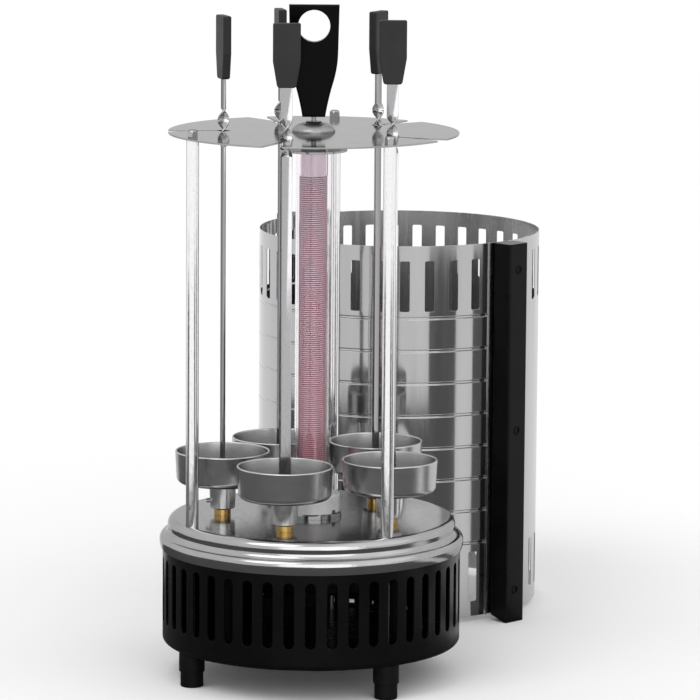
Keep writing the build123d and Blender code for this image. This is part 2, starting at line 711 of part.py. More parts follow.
POINTS_PER_TURN = 24
coil_points = [
    coil_point(step / POINTS_PER_TURN) for step in range(COIL_TURNS * POINTS_PER_TURN + 1)
]
coil_gap = min(
    (coil_points[i] - coil_points[j]).length - 2 * COIL_WIRE_R
    for i in range(len(coil_points))
    for j in range(i + POINTS_PER_TURN // 2, min(i + 2 * POINTS_PER_TURN, len(coil_points)))
)
print(f"heater spiral: {COIL_TURNS} turns, least gap to itself {coil_gap:.2f} mm")

with BuildPart() as heater_top_disc:
    with BuildSketch(flat(GRILL, HEATER_TOP)):
        Circle(TOP_DISC_R)
    extrude(amount=TOP_DISC_THICK)
finish(heater_top_disc, "heater_top_disc")

with BuildPart() as heater_top_insulator:
    with BuildSketch(flat(GRILL, HEATER_TOP + TOP_DISC_THICK)):
        Circle(INSULATOR_R)
        Circle(STUD_R + ROD_CLEARANCE, mode=Mode.SUBTRACT)
    extrude(amount=PLATE_UNDERSIDE - HEATER_TOP - TOP_DISC_THICK)
finish(heater_top_insulator, "heater_top_insulator")

# ---------------------------------------------------------------- turning stations
with BuildPart() as bushing:
    with BuildSketch(Plane.XY.offset(COVER_TOP)):
        Circle(BUSHING_FLANGE_R)
    extrude(amount=BUSHING_RISE)
    chamfer(bushing.edges().group_by(Axis.Z)[-1], 0.6)
    with BuildSketch(Plane.XY.offset(COVER_TOP - BUSHING_DROP)):
        Circle(BUSHING_SLEEVE_R)
    extrude(amount=BUSHING_DROP)
    with BuildSketch(Plane.XY.offset(COVER_TOP - BUSHING_DROP)):
        Circle(SPINDLE_R + FIT_GAP)
    extrude(amount=BUSHING_DROP + BUSHING_RISE, mode=Mode.SUBTRACT)

with BuildPart() as spindle_bushings:
    with Locations(*STATION_PLACES):
        add(bushing.part)
finish(spindle_bushings, "spindle_bushings")

with BuildPart() as cup_hub:
    with BuildSketch(Plane.XY.offset(HUB_BOTTOM)):
        Circle(HUB_FOOT_R)
    extrude(amount=HUB_HEIGHT, taper=-HUB_TAPER)
    chamfer(cup_hub.edges().group_by(Axis.Z)[0], 0.5)
    with BuildSketch(Plane.XY.offset(HUB_TOP)):
        Circle(HUB_SPIGOT_R)
    extrude(amount=CUP_WALL)
    with BuildSketch(Plane.XY.offset(HUB_BOTTOM)):
        Circle(SPINDLE_R + FIT_GAP)
    extrude(amount=HUB_BORE_DEPTH, mode=Mode.SUBTRACT)
    with BuildSketch(Plane.XY.offset(SOCKET_FLOOR)):
        Rectangle(BLADE_WIDTH + 2 * SOCKET_GAP, BLADE_THICK + 2 * SOCKET_GAP)
    extrude(amount=HUB_TOP + CUP_WALL - SOCKET_FLOOR, mode=Mode.SUBTRACT)
    with BuildSketch(facing(ORIGIN, 180, SPINDLE_R, HUB_BOTTOM + SET_SCREW_RISE)):
        Circle(SET_SCREW_R + FIT_GAP)
    extrude(amount=HUB_TOP_R, mode=Mode.SUBTRACT)

with BuildPart() as set_screw:
    with BuildSketch(
        facing(ORIGIN, 180, SPINDLE_R + FIT_GAP / 2, HUB_BOTTOM + SET_SCREW_RISE)
    ):
        Circle(SET_SCREW_R)
    screw_end = HUB_FOOT_R + SET_SCREW_PROUD
    extrude(amount=screw_end - SPINDLE_R - FIT_GAP / 2)
    with BuildSketch(
        facing(ORIGIN, 180, screw_end - SET_SCREW_R, HUB_BOTTOM + SET_SCREW_RISE)
    ):
        RegularPolygon(SET_SCREW_R / 2, 6)
    extrude(amount=2 * SET_SCREW_R, mode=Mode.SUBTRACT)

with BuildPart() as drip_cup:
    with BuildSketch(Plane.XY.offset(HUB_TOP)):
        Circle(CUP_R - CUP_HEIGHT * math.tan(math.radians(CUP_TAPER)))
    extrude(amount=CUP_HEIGHT, taper=-CUP_TAPER)
    fillet(drip_cup.edges().group_by(Axis.Z)[0], CUP_CORNER_R)
    offset(amount=-CUP_WALL, openings=drip_cup.faces().sort_by(Axis.Z)[-1])
    with BuildSketch(Plane.XY.offset(HUB_TOP)):
        Circle(HUB_SPIGOT_R + FIT_GAP)
    extrude(amount=CUP_WALL, mode=Mode.SUBTRACT)

# ---------------------------------------------------------------- skewers
with BuildPart() as skewer_blade:
    with BuildSketch(Plane.XZ):
        with BuildLine():
            half_width = BLADE_WIDTH / 2
            half_point = POINT_WIDTH / 2
            Polyline(
                (-half_width, BLADE_TIP + POINT_LENGTH),
                (-half_point, BLADE_TIP),
                (half_point, BLADE_TIP),
                (half_width, BLADE_TIP + POINT_LENGTH),
                (half_width, TWIST_LOW),
                (-half_width, TWIST_LOW),
                close=True,
            )
        make_face()
    extrude(amount=BLADE_THICK / 2, both=True)
    for step in range(TWIST_STEPS + 1):
        share = step / TWIST_STEPS
        height = TWIST_LOW + (TWIST_HIGH - TWIST_LOW) * share
        with BuildSketch(Plane.XY.offset(height)):
            Rectangle(BLADE_WIDTH, BLADE_THICK, rotation=TWIST_TURN * share)
    loft(ruled=True)
    with BuildSketch(Plane.XY.offset(TWIST_HIGH)):
        Rectangle(BLADE_WIDTH, BLADE_THICK)
    extrude(amount=BLADE_TOP - TWIST_HIGH)

with BuildPart() as skewer_grip:
    with BuildSketch(Plane.XZ.offset(-GRIP_THICK / 2)) as grip_profile:
        with BuildLine():
            Polyline(
                (-GRIP_FOOT_WIDTH / 2, GRIP_BOTTOM),
                (GRIP_FOOT_WIDTH / 2, GRIP_BOTTOM),
                (GRIP_WIDTH / 2, GRIP_BOTTOM + GRIP_SHOULDER),
                (GRIP_WIDTH / 2, GRIP_TOP),
                (-GRIP_WIDTH / 2, GRIP_TOP),
                (-GRIP_WIDTH / 2, GRIP_BOTTOM + GRIP_SHOULDER),
                close=True,
            )
        make_face()
        fillet(grip_profile.vertices().group_by(Axis.Y)[0], 2 * GRIP_EDGE)
        fillet(grip_profile.vertices().group_by(Axis.Y)[-1], GRIP_EDGE)
    extrude(amount=GRIP_THICK)
    chamfer(skewer_grip.faces().filter_by(Axis.Y).edges(), GRIP_EDGE / 2)
    with BuildSketch(Plane.XY.offset(GRIP_BOTTOM)):
        Rectangle(BLADE_WIDTH + FIT_GAP, BLADE_THICK + FIT_GAP)
    extrude(amount=BLADE_TOP - GRIP_BOTTOM + FIT_GAP, mode=Mode.SUBTRACT)


# ---------------------------------------------------------------- gear train
def involute(angle):
    """Involute function of a pressure angle in radians."""
    return math.tan(angle) - angle


def gear_outline(teeth):
    """Corner points of a spur gear with straight-sided steps along involute flanks."""
    pressure = math.radians(GEAR_PRESSURE_ANGLE)
    pitch_r = MODULE * teeth / 2
    base_r = pitch_r * math.cos(pressure)
    root_r = pitch_r - GEAR_DEDENDUM * MODULE
    tip_r = pitch_r + GEAR_ADDENDUM * MODULE
    thickness = math.pi * MODULE / 2 - GEAR_BACKLASH / 2
    radii = [root_r, max(base_r, root_r + 0.1), pitch_r, (pitch_r + tip_r) / 2, tip_r]

    def half_angle(radius):
        roll = math.acos(min(1.0, base_r / radius))
        return thickness / (2 * pitch_r) + involute(pressure) - involute(roll)

    corners = []
    for tooth in range(teeth):
        middle = 2 * math.pi * tooth / teeth
        for radius in radii:
            angle = middle - half_angle(radius)
            corners.append((radius * math.cos(angle), radius * math.sin(angle)))
        for radius in reversed(radii):
            angle = middle + half_angle(radius)
            corners.append((radius * math.cos(angle), radius * math.sin(angle)))
    return corners


def mesh_turn(bearing, teeth):
    """Turn that puts a gap of a gear over the sun gear's nearest tooth at a bearing."""
    passed = bearing * SUN_TEETH / 360
    off_tooth = passed - round(passed)
    return 180 + (off_tooth - 0.5) * 360 / teeth


with BuildPart() as sun_gear:
    with BuildSketch(flat(GRILL, GEAR_BOTTOM)):
        with BuildLine():
            Polyline(*gear_outline(SUN_TEETH), close=True)
        make_face()
        with PolarLocations(SUN_HOLE_RING_R, SUN_HOLES):
            Circle(SUN_HOLE_R, mode=Mode.SUBTRACT)
    extrude(amount=GEAR_FACE)
    with BuildSketch(flat(GRILL, GEAR_BOTTOM - COLLAR_RISE)):
        Circle(SUN_COLLAR_R)
    extrude(amount=GEAR_FACE + 2 * COLLAR_RISE)
    with BuildSketch(flat(GRILL, GEAR_BOTTOM - COLLAR_RISE)):
        Circle(HUB_TUBE_R + FIT_GAP)
    extrude(amount=GEAR_FACE + 2 * COLLAR_RISE, mode=Mode.SUBTRACT)
finish(sun_gear, "sun_gear")

with BuildPart() as motor_pinion:
    with BuildSketch(
        flat(
            GRILL,
            GEAR_BOTTOM,
            MOTOR_BEARING,
            PINION_RING_R,
            mesh_turn(MOTOR_BEARING, PINION_TEETH),
        )
    ):
        with BuildLine():
            Polyline(*gear_outline(PINION_TEETH), close=True)
        make_face()
    extrude(amount=GEAR_FACE)
    shaft_bottom = DECK_UNDERSIDE - MOTOR_SHAFT_IN_BODY
    with BuildSketch(flat(GRILL, shaft_bottom, MOTOR_BEARING, PINION_RING_R)):
        Circle(MOTOR_SHAFT_R)
    extrude(amount=GEAR_TOP - shaft_bottom)
finish(motor_pinion, "motor_pinion")

for number, bearing in enumerate(STATION_BEARINGS, 1):
    with BuildPart() as gear_spindle:
        with BuildSketch(
            flat(
                GRILL,
                GEAR_BOTTOM,
                bearing,
                STATION_RING_R,
                mesh_turn(bearing, SPINDLE_TEETH),
            )
        ):
            with BuildLine():
                Polyline(*gear_outline(SPINDLE_TEETH), close=True)
            make_face()
        extrude(amount=GEAR_FACE)
        with BuildSketch(
            flat(GRILL, GEAR_BOTTOM - COLLAR_RISE, bearing, STATION_RING_R)
        ):
            Circle(SPINDLE_COLLAR_R)
        extrude(amount=COLLAR_RISE)
        spindle_bottom = DECK_UNDERSIDE - DECK_BOSS_DROP
        with BuildSketch(flat(GRILL, spindle_bottom, bearing, STATION_RING_R)):
            Circle(SPINDLE_R)
        extrude(amount=SPINDLE_TOP - spindle_bottom)
    finish(gear_spindle, f"gear_spindle_{number}")

with BuildPart() as gear_deck:
    with BuildSketch(flat(GRILL, DECK_UNDERSIDE)):
        Circle(DECK_R)
    extrude(amount=DECK_THICK)
    with BuildSketch(flat(GRILL, DECK_TOP)):
        Circle(HUB_TUBE_R)
    extrude(amount=COVER_UNDERSIDE - SHEET_GAP - DECK_TOP)
    with BuildSketch(*[place.offset(DECK_UNDERSIDE) for place in STATION_PLACES]):
        Circle(DECK_BOSS_R)
    extrude(amount=-DECK_BOSS_DROP)
    with BuildSketch(flat(GRILL, DECK_UNDERSIDE)):
        Circle(HUB_TUBE_BORE_R)
    extrude(amount=COVER_UNDERSIDE - DECK_UNDERSIDE, mode=Mode.SUBTRACT)
    with BuildSketch(flat(GRILL, DECK_UNDERSIDE, MOTOR_BEARING, MOTOR_RING_R)):
        with Locations((PINION_RING_R - MOTOR_RING_R, 0)):
            Circle(MOTOR_SHAFT_R + 2 * SHEET_GAP)
        with Locations((MOTOR_LUG_REACH, 0), (-MOTOR_LUG_REACH, 0)):
            Circle(MOTOR_SCREW_R + FIT_GAP)
    extrude(amount=DECK_THICK, mode=Mode.SUBTRACT)
    with BuildSketch(
        *[place.offset(DECK_UNDERSIDE - DECK_BOSS_DROP) for place in STATION_PLACES]
    ):
        Circle(SPINDLE_R + FIT_GAP)
    extrude(amount=DECK_BOSS_DROP + DECK_THICK, mode=Mode.SUBTRACT)
finish(gear_deck, "gear_deck")

with BuildPart() as deck_pillars:
    with BuildSketch(flat(GRILL, BASE_TOP)):
        with PolarLocations(PILLAR_RING_R, PILLAR_COUNT, start_angle=45):
            Circle(PILLAR_R)
    extrude(amount=DECK_UNDERSIDE - BASE_TOP)
finish(deck_pillars, "deck_pillars")

with BuildPart() as drive_motor:
    with BuildSketch(
        flat(GRILL, DECK_UNDERSIDE - MOTOR_HEIGHT, MOTOR_BEARING, MOTOR_RING_R)
    ):
        Circle(MOTOR_R)
    extrude(amount=MOTOR_HEIGHT)
    fillet(drive_motor.edges().group_by(Axis.Z)[0], 2)
    with BuildSketch(flat(GRILL, DECK_UNDERSIDE, MOTOR_BEARING, MOTOR_RING_R)):
        SlotOverall(2 * (MOTOR_LUG_REACH + MOTOR_LUG_R), 2 * MOTOR_LUG_R)
    extrude(amount=-MOTOR_LUG_THICK)
    with BuildSketch(flat(GRILL, DECK_UNDERSIDE, MOTOR_BEARING, MOTOR_RING_R)):
        with Locations((MOTOR_LUG_REACH, 0), (-MOTOR_LUG_REACH, 0)):
            Circle(MOTOR_SCREW_R + FIT_GAP)
    extrude(amount=-MOTOR_LUG_THICK, mode=Mode.SUBTRACT)
    with BuildSketch(flat(GRILL, DECK_UNDERSIDE, MOTOR_BEARING, PINION_RING_R)):
        Circle(MOTOR_SHAFT_R + FIT_GAP)
    extrude(amount=-MOTOR_SHAFT_IN_BODY - THRUST_GAP, mode=Mode.SUBTRACT)
finish(drive_motor, "drive_motor")

with BuildPart() as motor_screws:
    head_top = DECK_UNDERSIDE - MOTOR_LUG_THICK
    with BuildSketch(flat(GRILL, head_top, MOTOR_BEARING, MOTOR_RING_R)):
        with Locations((MOTOR_LUG_REACH, 0), (-MOTOR_LUG_REACH, 0)):
            Circle(SCREW_HEAD_R)
    extrude(amount=-SCREW_HEAD_HEIGHT)
    with BuildSketch(flat(GRILL, head_top, MOTOR_BEARING, MOTOR_RING_R)):
        with Locations((MOTOR_LUG_REACH, 0), (-MOTOR_LUG_REACH, 0)):
            Circle(MOTOR_SCREW_R)
    extrude(amount=DECK_TOP - head_top)
finish(motor_screws, "motor_screws")

# ---------------------------------------------------------------- electrical entry
with BuildPart() as terminal_block:
    with BuildSketch(flat(GRILL, BASE_TOP, ENTRY_BEARING, TERMINAL_RING_R)):
        Rectangle(TERMINAL_SIZE[0], TERMINAL_SIZE[1])
    extrude(amount=TERMINAL_SIZE[2])
    fillet(terminal_block.edges().filter_by(Axis.Z), 1)
    with BuildSketch(
        flat(GRILL, BASE_TOP + TERMINAL_SIZE[2], ENTRY_BEARING, TERMINAL_RING_R)
    ):
        with GridLocations(1, TERMINAL_SIZE[1] / TERMINAL_WAYS, 1, TERMINAL_WAYS):
            Circle(TERMINAL_SCREW_R)
    extrude(amount=-TERMINAL_SIZE[2] / 2, mode=Mode.SUBTRACT)
finish(terminal_block, "terminal_block")

with BuildPart() as cord_gland:
    nut_end = DRUM_INNER_R - SHEET_GAP
    with BuildSketch(facing(GRILL, ENTRY_BEARING, DRUM_R, GLAND_Z)):
        Circle(GLAND_FLANGE_R)
    extrude(amount=GLAND_FLANGE_THICK)
    chamfer(cord_gland.edges().sort_by_distance((*GRILL, GLAND_Z))[-1], 1)
    with BuildSketch(facing(GRILL, ENTRY_BEARING, nut_end - GLAND_NUT_THICK, GLAND_Z)):
        Circle(GLAND_R)
    extrude(amount=DRUM_R + GLAND_FLANGE_THICK / 2 - nut_end + GLAND_NUT_THICK)
    with BuildSketch(facing(GRILL, ENTRY_BEARING, nut_end - GLAND_NUT_THICK, GLAND_Z)):
        RegularPolygon(GLAND_FLANGE_R, 6)
        Circle(GLAND_R, mode=Mode.SUBTRACT)
    extrude(amount=GLAND_NUT_THICK)
    with BuildSketch(facing(GRILL, ENTRY_BEARING, nut_end - GLAND_NUT_THICK, GLAND_Z)):
        Circle(GLAND_BORE_R)
    extrude(amount=2 * GLAND_FLANGE_THICK + 2 * GLAND_NUT_THICK, mode=Mode.SUBTRACT)
finish(cord_gland, "cord_gland")

# ---------------------------------------------------------------- stations in place
for number, bearing in enumerate(STATION_BEARINGS, 1):
    width_turn = GRIP_FACINGS[number - 1] - 90 - bearing
    place = flat(GRILL, 0, bearing, STATION_RING_R, width_turn)
    with BuildPart() as placed_hub:
        with Locations(place):
            add(cup_hub.part)
            add(set_screw.part)
    finish(placed_hub, f"cup_hub_{number}")
    with BuildPart() as placed_cup:
        with Locations(place):
            add(drip_cup.part)
    finish(placed_cup, f"drip_cup_{number}")
    with BuildPart() as placed_blade:
        with Locations(place):
            add(skewer_blade.part)
    finish(placed_blade, f"skewer_blade_{number}")
    with BuildPart() as placed_grip:
        with Locations(place):
            add(skewer_grip.part)
    finish(placed_grip, f"skewer_grip_{number}")

# ---------------------------------------------------------------- casing
SLOT_BEARINGS = [
    CASING_SLOT_SHIFT + 360 * index / CASING_SLOTS for index in range(CASING_SLOTS)
]
BAR_BEARINGS = (GRIP_BAR_BEARING, GRIP_BAR_BEARING + 180)
BAR_HALF_ARC = math.degrees(GRIP_BAR_WIDTH / 2 / CASING_R)
SCREW_HEIGHTS = (
    CASING_BOTTOM + GRIP_BAR_SCREW_MARGIN,
    (CASING_BOTTOM + CASING_TOP) / 2,
    CASING_TOP - GRIP_BAR_SCREW_MARGIN,
)
SCREW_REACH = GRIP_BAR_INNER_R + GRIP_BAR_DEPTH / 2


def clear_of_bars(bearing):
    """Whether a slot at a bearing is clear of both grip bars."""
    return all(
        abs((bearing - bar + 180) % 360 - 180) > BAR_HALF_ARC for bar in BAR_BEARINGS
    )


with BuildPart() as casing_slots:
    row_heights = (
        CASING_BOTTOM + CASING_SLOT_MARGIN + CASING_SLOT_LENGTH / 2,
        CASING_TOP - CASING_SLOT_MARGIN - CASING_SLOT_LENGTH / 2,
    )
    with BuildSketch(facing(ORIGIN, 0, CASING_R - 3 * CASING_SHEET, 0)):
        with Locations(*[(0, height) for height in row_heights]):
            RectangleRounded(CASING_SLOT_WIDTH, CASING_SLOT_LENGTH, CASING_SLOT_CORNER_R)
    extrude(amount=5 * CASING_SHEET)


def sheet_side(radius, half_rib, ribbed):
    """Points up one side of the casing's sheet, round its pressed ribs."""
    points = [(radius, CASING_BOTTOM)]
    if ribbed:
        for index in reversed(range(RIB_COUNT)):
            height = CASING_TOP - RIB_FIRST - RIB_PITCH * index
            points += [
                (radius, height - half_rib),
                (radius - RIB_DEPTH, height - RIB_CREST / 2),
                (radius - RIB_DEPTH, height + RIB_CREST / 2),
                (radius, height + half_rib),
            ]
    return points + [(radius, CASING_TOP)]


def casing_shell(seam, ribbed):
    """Half of the casing, from a seam onward through 180 degrees."""
    outer_half = RIB_HALF_WIDTH - CASING_SHEET / 2
    with BuildPart() as shell:
        with BuildSketch(section(CASING, seam)):
            outside = sheet_side(CASING_R, outer_half, ribbed)
            inside = sheet_side(CASING_R - CASING_SHEET, RIB_HALF_WIDTH, ribbed)
            with BuildLine():
                Polyline(*outside, *reversed(inside), close=True)
            make_face()
        revolve(axis=CASING_AXIS, revolution_arc=180)
        for edge_bearing, side in ((seam, 1), (seam + 180, -1)):
            with BuildSketch(flat(CASING, CASING_BOTTOM, edge_bearing)):
                with Locations(
                    (CASING_R + (SEAM_LIP - CASING_SHEET) / 2, side * CASING_SHEET / 2)
                ):
                    Rectangle(SEAM_LIP + CASING_SHEET, CASING_SHEET)
            extrude(amount=CASING_HEIGHT)
        with Locations(*[flat(CASING, 0, b) for b in SLOT_BEARINGS if clear_of_bars(b)]):
            add(casing_slots.part.rotate(Axis.Z, 90), mode=Mode.SUBTRACT)
        for bar in BAR_BEARINGS:
            with BuildSketch(facing(CASING, bar, CASING_R - 3 * CASING_SHEET, 0)):
                with Locations(*[(0, height) for height in SCREW_HEIGHTS]):
                    Circle(MOTOR_SCREW_R + FIT_GAP)
            extrude(amount=5 * CASING_SHEET, mode=Mode.SUBTRACT)
    return shell


finish(casing_shell(SEAM_BEARING, False), "casing_shell_back")
finish(casing_shell(SEAM_BEARING + 180, True), "casing_shell_front")

for bar, label in zip(BAR_BEARINGS, ("casing_handle_right", "casing_handle_left")):
    with BuildPart() as casing_handle:
        with BuildSketch(section(CASING, bar)):
            with BuildLine():
                bar_outer = GRIP_BAR_INNER_R + GRIP_BAR_DEPTH
                Polyline(
                    (GRIP_BAR_INNER_R, CASING_BOTTOM),
                    (bar_outer, CASING_BOTTOM - GRIP_BAR_SLANT),
                    (bar_outer, CASING_TOP),
                    (GRIP_BAR_INNER_R, CASING_TOP),
                    close=True,
                )
            make_face()
        extrude(amount=GRIP_BAR_WIDTH / 2, both=True)
        fillet(casing_handle.edges().filter_by(Axis.Z), GRIP_BAR_CORNER_R)
        with BuildSketch(facing(CASING, bar, CASING_R, 0)):
            with Locations(*[(0, height) for height in SCREW_HEIGHTS]):
                Circle(GRIP_BAR_BOSS_R)
        extrude(amount=GRIP_BAR_INNER_R - CASING_R + FIT_GAP)
        with BuildSketch(facing(CASING, bar, CASING_R, 0)):
            with Locations(*[(0, height) for height in SCREW_HEIGHTS]):
                Circle(MOTOR_SCREW_R + FIT_GAP)
        extrude(amount=SCREW_REACH - CASING_R + FIT_GAP, mode=Mode.SUBTRACT)
    finish(casing_handle, label)

with BuildPart() as casing_screws:
    head_face = CASING_R - CASING_SHEET - FIT_GAP * 2
    for bar in BAR_BEARINGS:
        with BuildSketch(facing(CASING, bar, head_face, 0)):
            with Locations(*[(0, height) for height in SCREW_HEIGHTS]):
                Circle(SCREW_HEAD_R)
        extrude(amount=-SCREW_HEAD_HEIGHT)
        with BuildSketch(facing(CASING, bar, head_face, 0)):
            with Locations(*[(0, height) for height in SCREW_HEIGHTS]):
                Circle(MOTOR_SCREW_R)
        extrude(amount=SCREW_REACH - head_face)
finish(casing_screws, "casing_screws")
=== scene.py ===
"""Looks of a vertical electric skewer grill with its casing lifted off and set behind it.

Lengths are in metres unless a name ends in _MM. A bearing is the angle in degrees round an
upright axis, from the front (-Y) towards the right (+X), as in the solid model.
"""

import json
import math

import bmesh
import bpy
from mathutils import Euler, Matrix, Vector


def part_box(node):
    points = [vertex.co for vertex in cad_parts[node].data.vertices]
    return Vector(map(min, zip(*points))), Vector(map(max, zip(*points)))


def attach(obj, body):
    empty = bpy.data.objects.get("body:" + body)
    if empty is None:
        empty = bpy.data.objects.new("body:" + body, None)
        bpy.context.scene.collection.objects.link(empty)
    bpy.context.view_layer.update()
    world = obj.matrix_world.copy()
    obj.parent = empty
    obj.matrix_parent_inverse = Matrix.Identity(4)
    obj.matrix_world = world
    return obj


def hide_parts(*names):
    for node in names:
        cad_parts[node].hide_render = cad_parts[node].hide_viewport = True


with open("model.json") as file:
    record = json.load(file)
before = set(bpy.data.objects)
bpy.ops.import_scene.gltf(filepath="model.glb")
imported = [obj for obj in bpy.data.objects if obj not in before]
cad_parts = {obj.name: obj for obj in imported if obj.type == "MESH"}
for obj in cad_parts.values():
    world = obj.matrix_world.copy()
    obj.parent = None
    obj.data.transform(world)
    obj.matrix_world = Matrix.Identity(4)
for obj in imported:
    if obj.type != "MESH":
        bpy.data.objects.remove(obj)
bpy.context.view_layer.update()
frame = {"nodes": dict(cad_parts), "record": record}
nodes = frame["nodes"]

MM = 0.001
FULL_TURN = 2 * math.pi
TINY = 1e-6     # a vector shorter than this has no direction of its own


# ---------------------------------------------------------------- places from the frame
def middle(node):
    """Centre of a node's box."""
    low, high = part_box(node)
    return (low + high) / 2


def top_of(node):
    """Height of a node's highest point."""
    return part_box(node)[1].z


def bottom_of(node):
    """Height of a node's lowest point."""
    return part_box(node)[0].z


def reach(node):
    """Half the width of a round node."""
    low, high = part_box(node)
    return (high.x - low.x) / 2


def outward(bearing):
    """Level unit vector at a bearing."""
    angle = math.radians(bearing)
    return Vector((math.sin(angle), -math.cos(angle), 0))


GRILL = middle("base_cover")
STATIONS = range(1, 6)

# the casing stands behind the grill, between its two upright handles
CASING = (middle("casing_handle_left") + middle("casing_handle_right")) / 2
CASING_R = 108.5 * MM


# ---------------------------------------------------------------- node material helpers
class Finish:
    """A material with one Principled shader, and helpers that drive its sockets."""

    def __init__(self, name, base, **sockets):
        self.material = bpy.data.materials.new(name)
        self.material.use_nodes = True
        self.tree = self.material.node_tree
        self.shader = self.tree.nodes["Principled BSDF"]
        self.base = base
        self.shader.inputs["Base Color"].default_value = (*base, 1)
        for key, value in sockets.items():
            self.shader.inputs[key.replace("_", " ")].default_value = value
        self.normal = None

    def edge(self, share):
        """A metal's brightness seen edge-on, as a share of that of a clean surface."""
        self.shader.inputs["Specular Tint"].default_value = (share, share, share, 1)

    def node(self, kind, inputs=None, **settings):
        """New node, with settings, and inputs that are values or other nodes' outputs."""
        made = self.tree.nodes.new(kind)
        for key, value in settings.items():
            setattr(made, key, value)
        for key, value in (inputs or {}).items():
            if isinstance(value, bpy.types.NodeSocket):
                self.tree.links.new(value, made.inputs[key])
            else:
                made.inputs[key].default_value = value
        return made

    def math(self, operation, first, second=0.0):
        """Output of a Math node."""
        return self.node(
            "ShaderNodeMath", {0: first, 1: second}, operation=operation
        ).outputs[0]

    def place(self, stretch=(1, 1, 1)):
        """Coordinates in metres, stretched along the axes."""
        coordinates = self.node("ShaderNodeTexCoord").outputs["Object"]
        return self.node(
            "ShaderNodeMapping", {"Vector": coordinates, "Scale": stretch}
        ).outputs["Vector"]

    def turned_place(self, centre, along):
        """Radius, angle and height round an upright axis, with the angle scaled by along."""
        coordinates = self.node("ShaderNodeTexCoord").outputs["Object"]
        shifted = self.node(
            "ShaderNodeVectorMath",
            {0: coordinates, 1: (centre.x, centre.y, 0)},
            operation="SUBTRACT",
        ).outputs[0]
        parts = self.node("ShaderNodeSeparateXYZ", {0: shifted}).outputs
        angle = self.math("ARCTAN2", parts["Y"], parts["X"])
        square = self.math(
            "ADD", self.math("POWER", parts["X"], 2.0), self.math("POWER", parts["Y"], 2.0)
        )
        return self.node(
            "ShaderNodeCombineXYZ",
            {
                0: self.math("SQRT", square),
                1: self.math("MULTIPLY", angle, along),
                2: parts["Z"],
            },
        ).outputs[0]

    def noise(self, place, scale, detail, roughness=0.55):
        """Noise value from 0 to 1."""
        return self.node(
            "ShaderNodeTexNoise",
            {"Vector": place, "Scale": scale, "Detail": detail, "Roughness": roughness},
        ).outputs[0]

    def between(self, value, low, high, start=0.3, end=0.7):
        """Value carried from start..end to low..high."""
        return self.node(
            "ShaderNodeMapRange", {0: value, 1: start, 2: end, 3: low, 4: high}
        ).outputs[0]

    def roughen(self, value, low, high):
        """Roughness that varies with a value."""
        self.tree.links.new(self.between(value, low, high), self.shader.inputs["Roughness"])

    def tint(self, value, other, start=0.3, end=0.7):
        """Colour that goes from the base to another one with a value."""
        mixed = self.mix(self.between(value, 0.0, 1.0, start, end), self.base, other)
        self.tree.links.new(mixed, self.shader.inputs["Base Color"])

    def mix(self, factor, first, second):
        """Output of a mix of two colours, or of other mixes."""
        made = self.tree.nodes.new("ShaderNodeMix")
        made.data_type = "RGBA"
        self.tree.links.new(factor, made.inputs[0])
        for socket, colour in ((made.inputs[6], first), (made.inputs[7], second)):
            if isinstance(colour, bpy.types.NodeSocket):
                self.tree.links.new(colour, socket)
            else:
                socket.default_value = (*colour, 1)
        return made.outputs[2]

    def ease(self, radius):
        """Rounds the shading of sharp edges by a radius."""
        self.normal = self.node(
            "ShaderNodeBevel", {"Radius": radius}, samples=4
        ).outputs[0]
        self.tree.links.new(self.normal, self.shader.inputs["Normal"])

    def relief(self, value, distance, strength=1.0):
        """Raises the surface with a value, on top of what is there."""
        inputs = {"Height": value, "Distance": distance, "Strength": strength}
        if self.normal is not None:
            inputs["Normal"] = self.normal
        self.normal = self.node("ShaderNodeBump", inputs).outputs[0]
        self.tree.links.new(self.normal, self.shader.inputs["Normal"])

    def spin(self, amount):
        """Highlights that are drawn out along lathe marks."""
        self.shader.inputs["Anisotropic"].default_value = amount
        tangent = self.node("ShaderNodeTangent", direction_type="RADIAL", axis="Z")
        self.tree.links.new(tangent.outputs[0], self.shader.inputs["Tangent"])


def seen_by_eye(tree):
    """Output that is 1 for rays that see a surface directly, in a gloss or through glass."""
    path = tree.nodes.new("ShaderNodeLightPath")
    seen = path.outputs["Is Camera Ray"]
    for kind in ("Is Glossy Ray", "Is Transmission Ray"):
        either = tree.nodes.new("ShaderNodeMath")
        either.operation = "MAXIMUM"
        tree.links.new(seen, either.inputs[0])
        tree.links.new(path.outputs[kind], either.inputs[1])
        seen = either.outputs[0]
    return seen


def matt(shader):
    """Makes a shader dull, with no gloss at all."""
    shader.inputs["Roughness"].default_value = 0.9
    shader.inputs["Specular IOR Level"].default_value = 0.0


# ---------------------------------------------------------------- finishes
def black_enamel():
    """Baked black enamel on sheet: a little orange peel, and dust in the gloss."""
    finish = Finish("black_enamel", (0.002, 0.002, 0.0024), Specular_IOR_Level=0.12)
    finish.ease(0.5 * MM)
    finish.relief(finish.noise(finish.place(), 900.0, 2.0), 0.02 * MM)
    finish.relief(finish.noise(finish.place(), 60.0, 2.0), 0.05 * MM)
    finish.roughen(finish.noise(finish.place(), 35.0, 5.0), 0.2, 0.32)
    finish.tint(finish.noise(finish.place(), 14.0, 6.0), (0.0035, 0.0035, 0.004))
    return finish.material


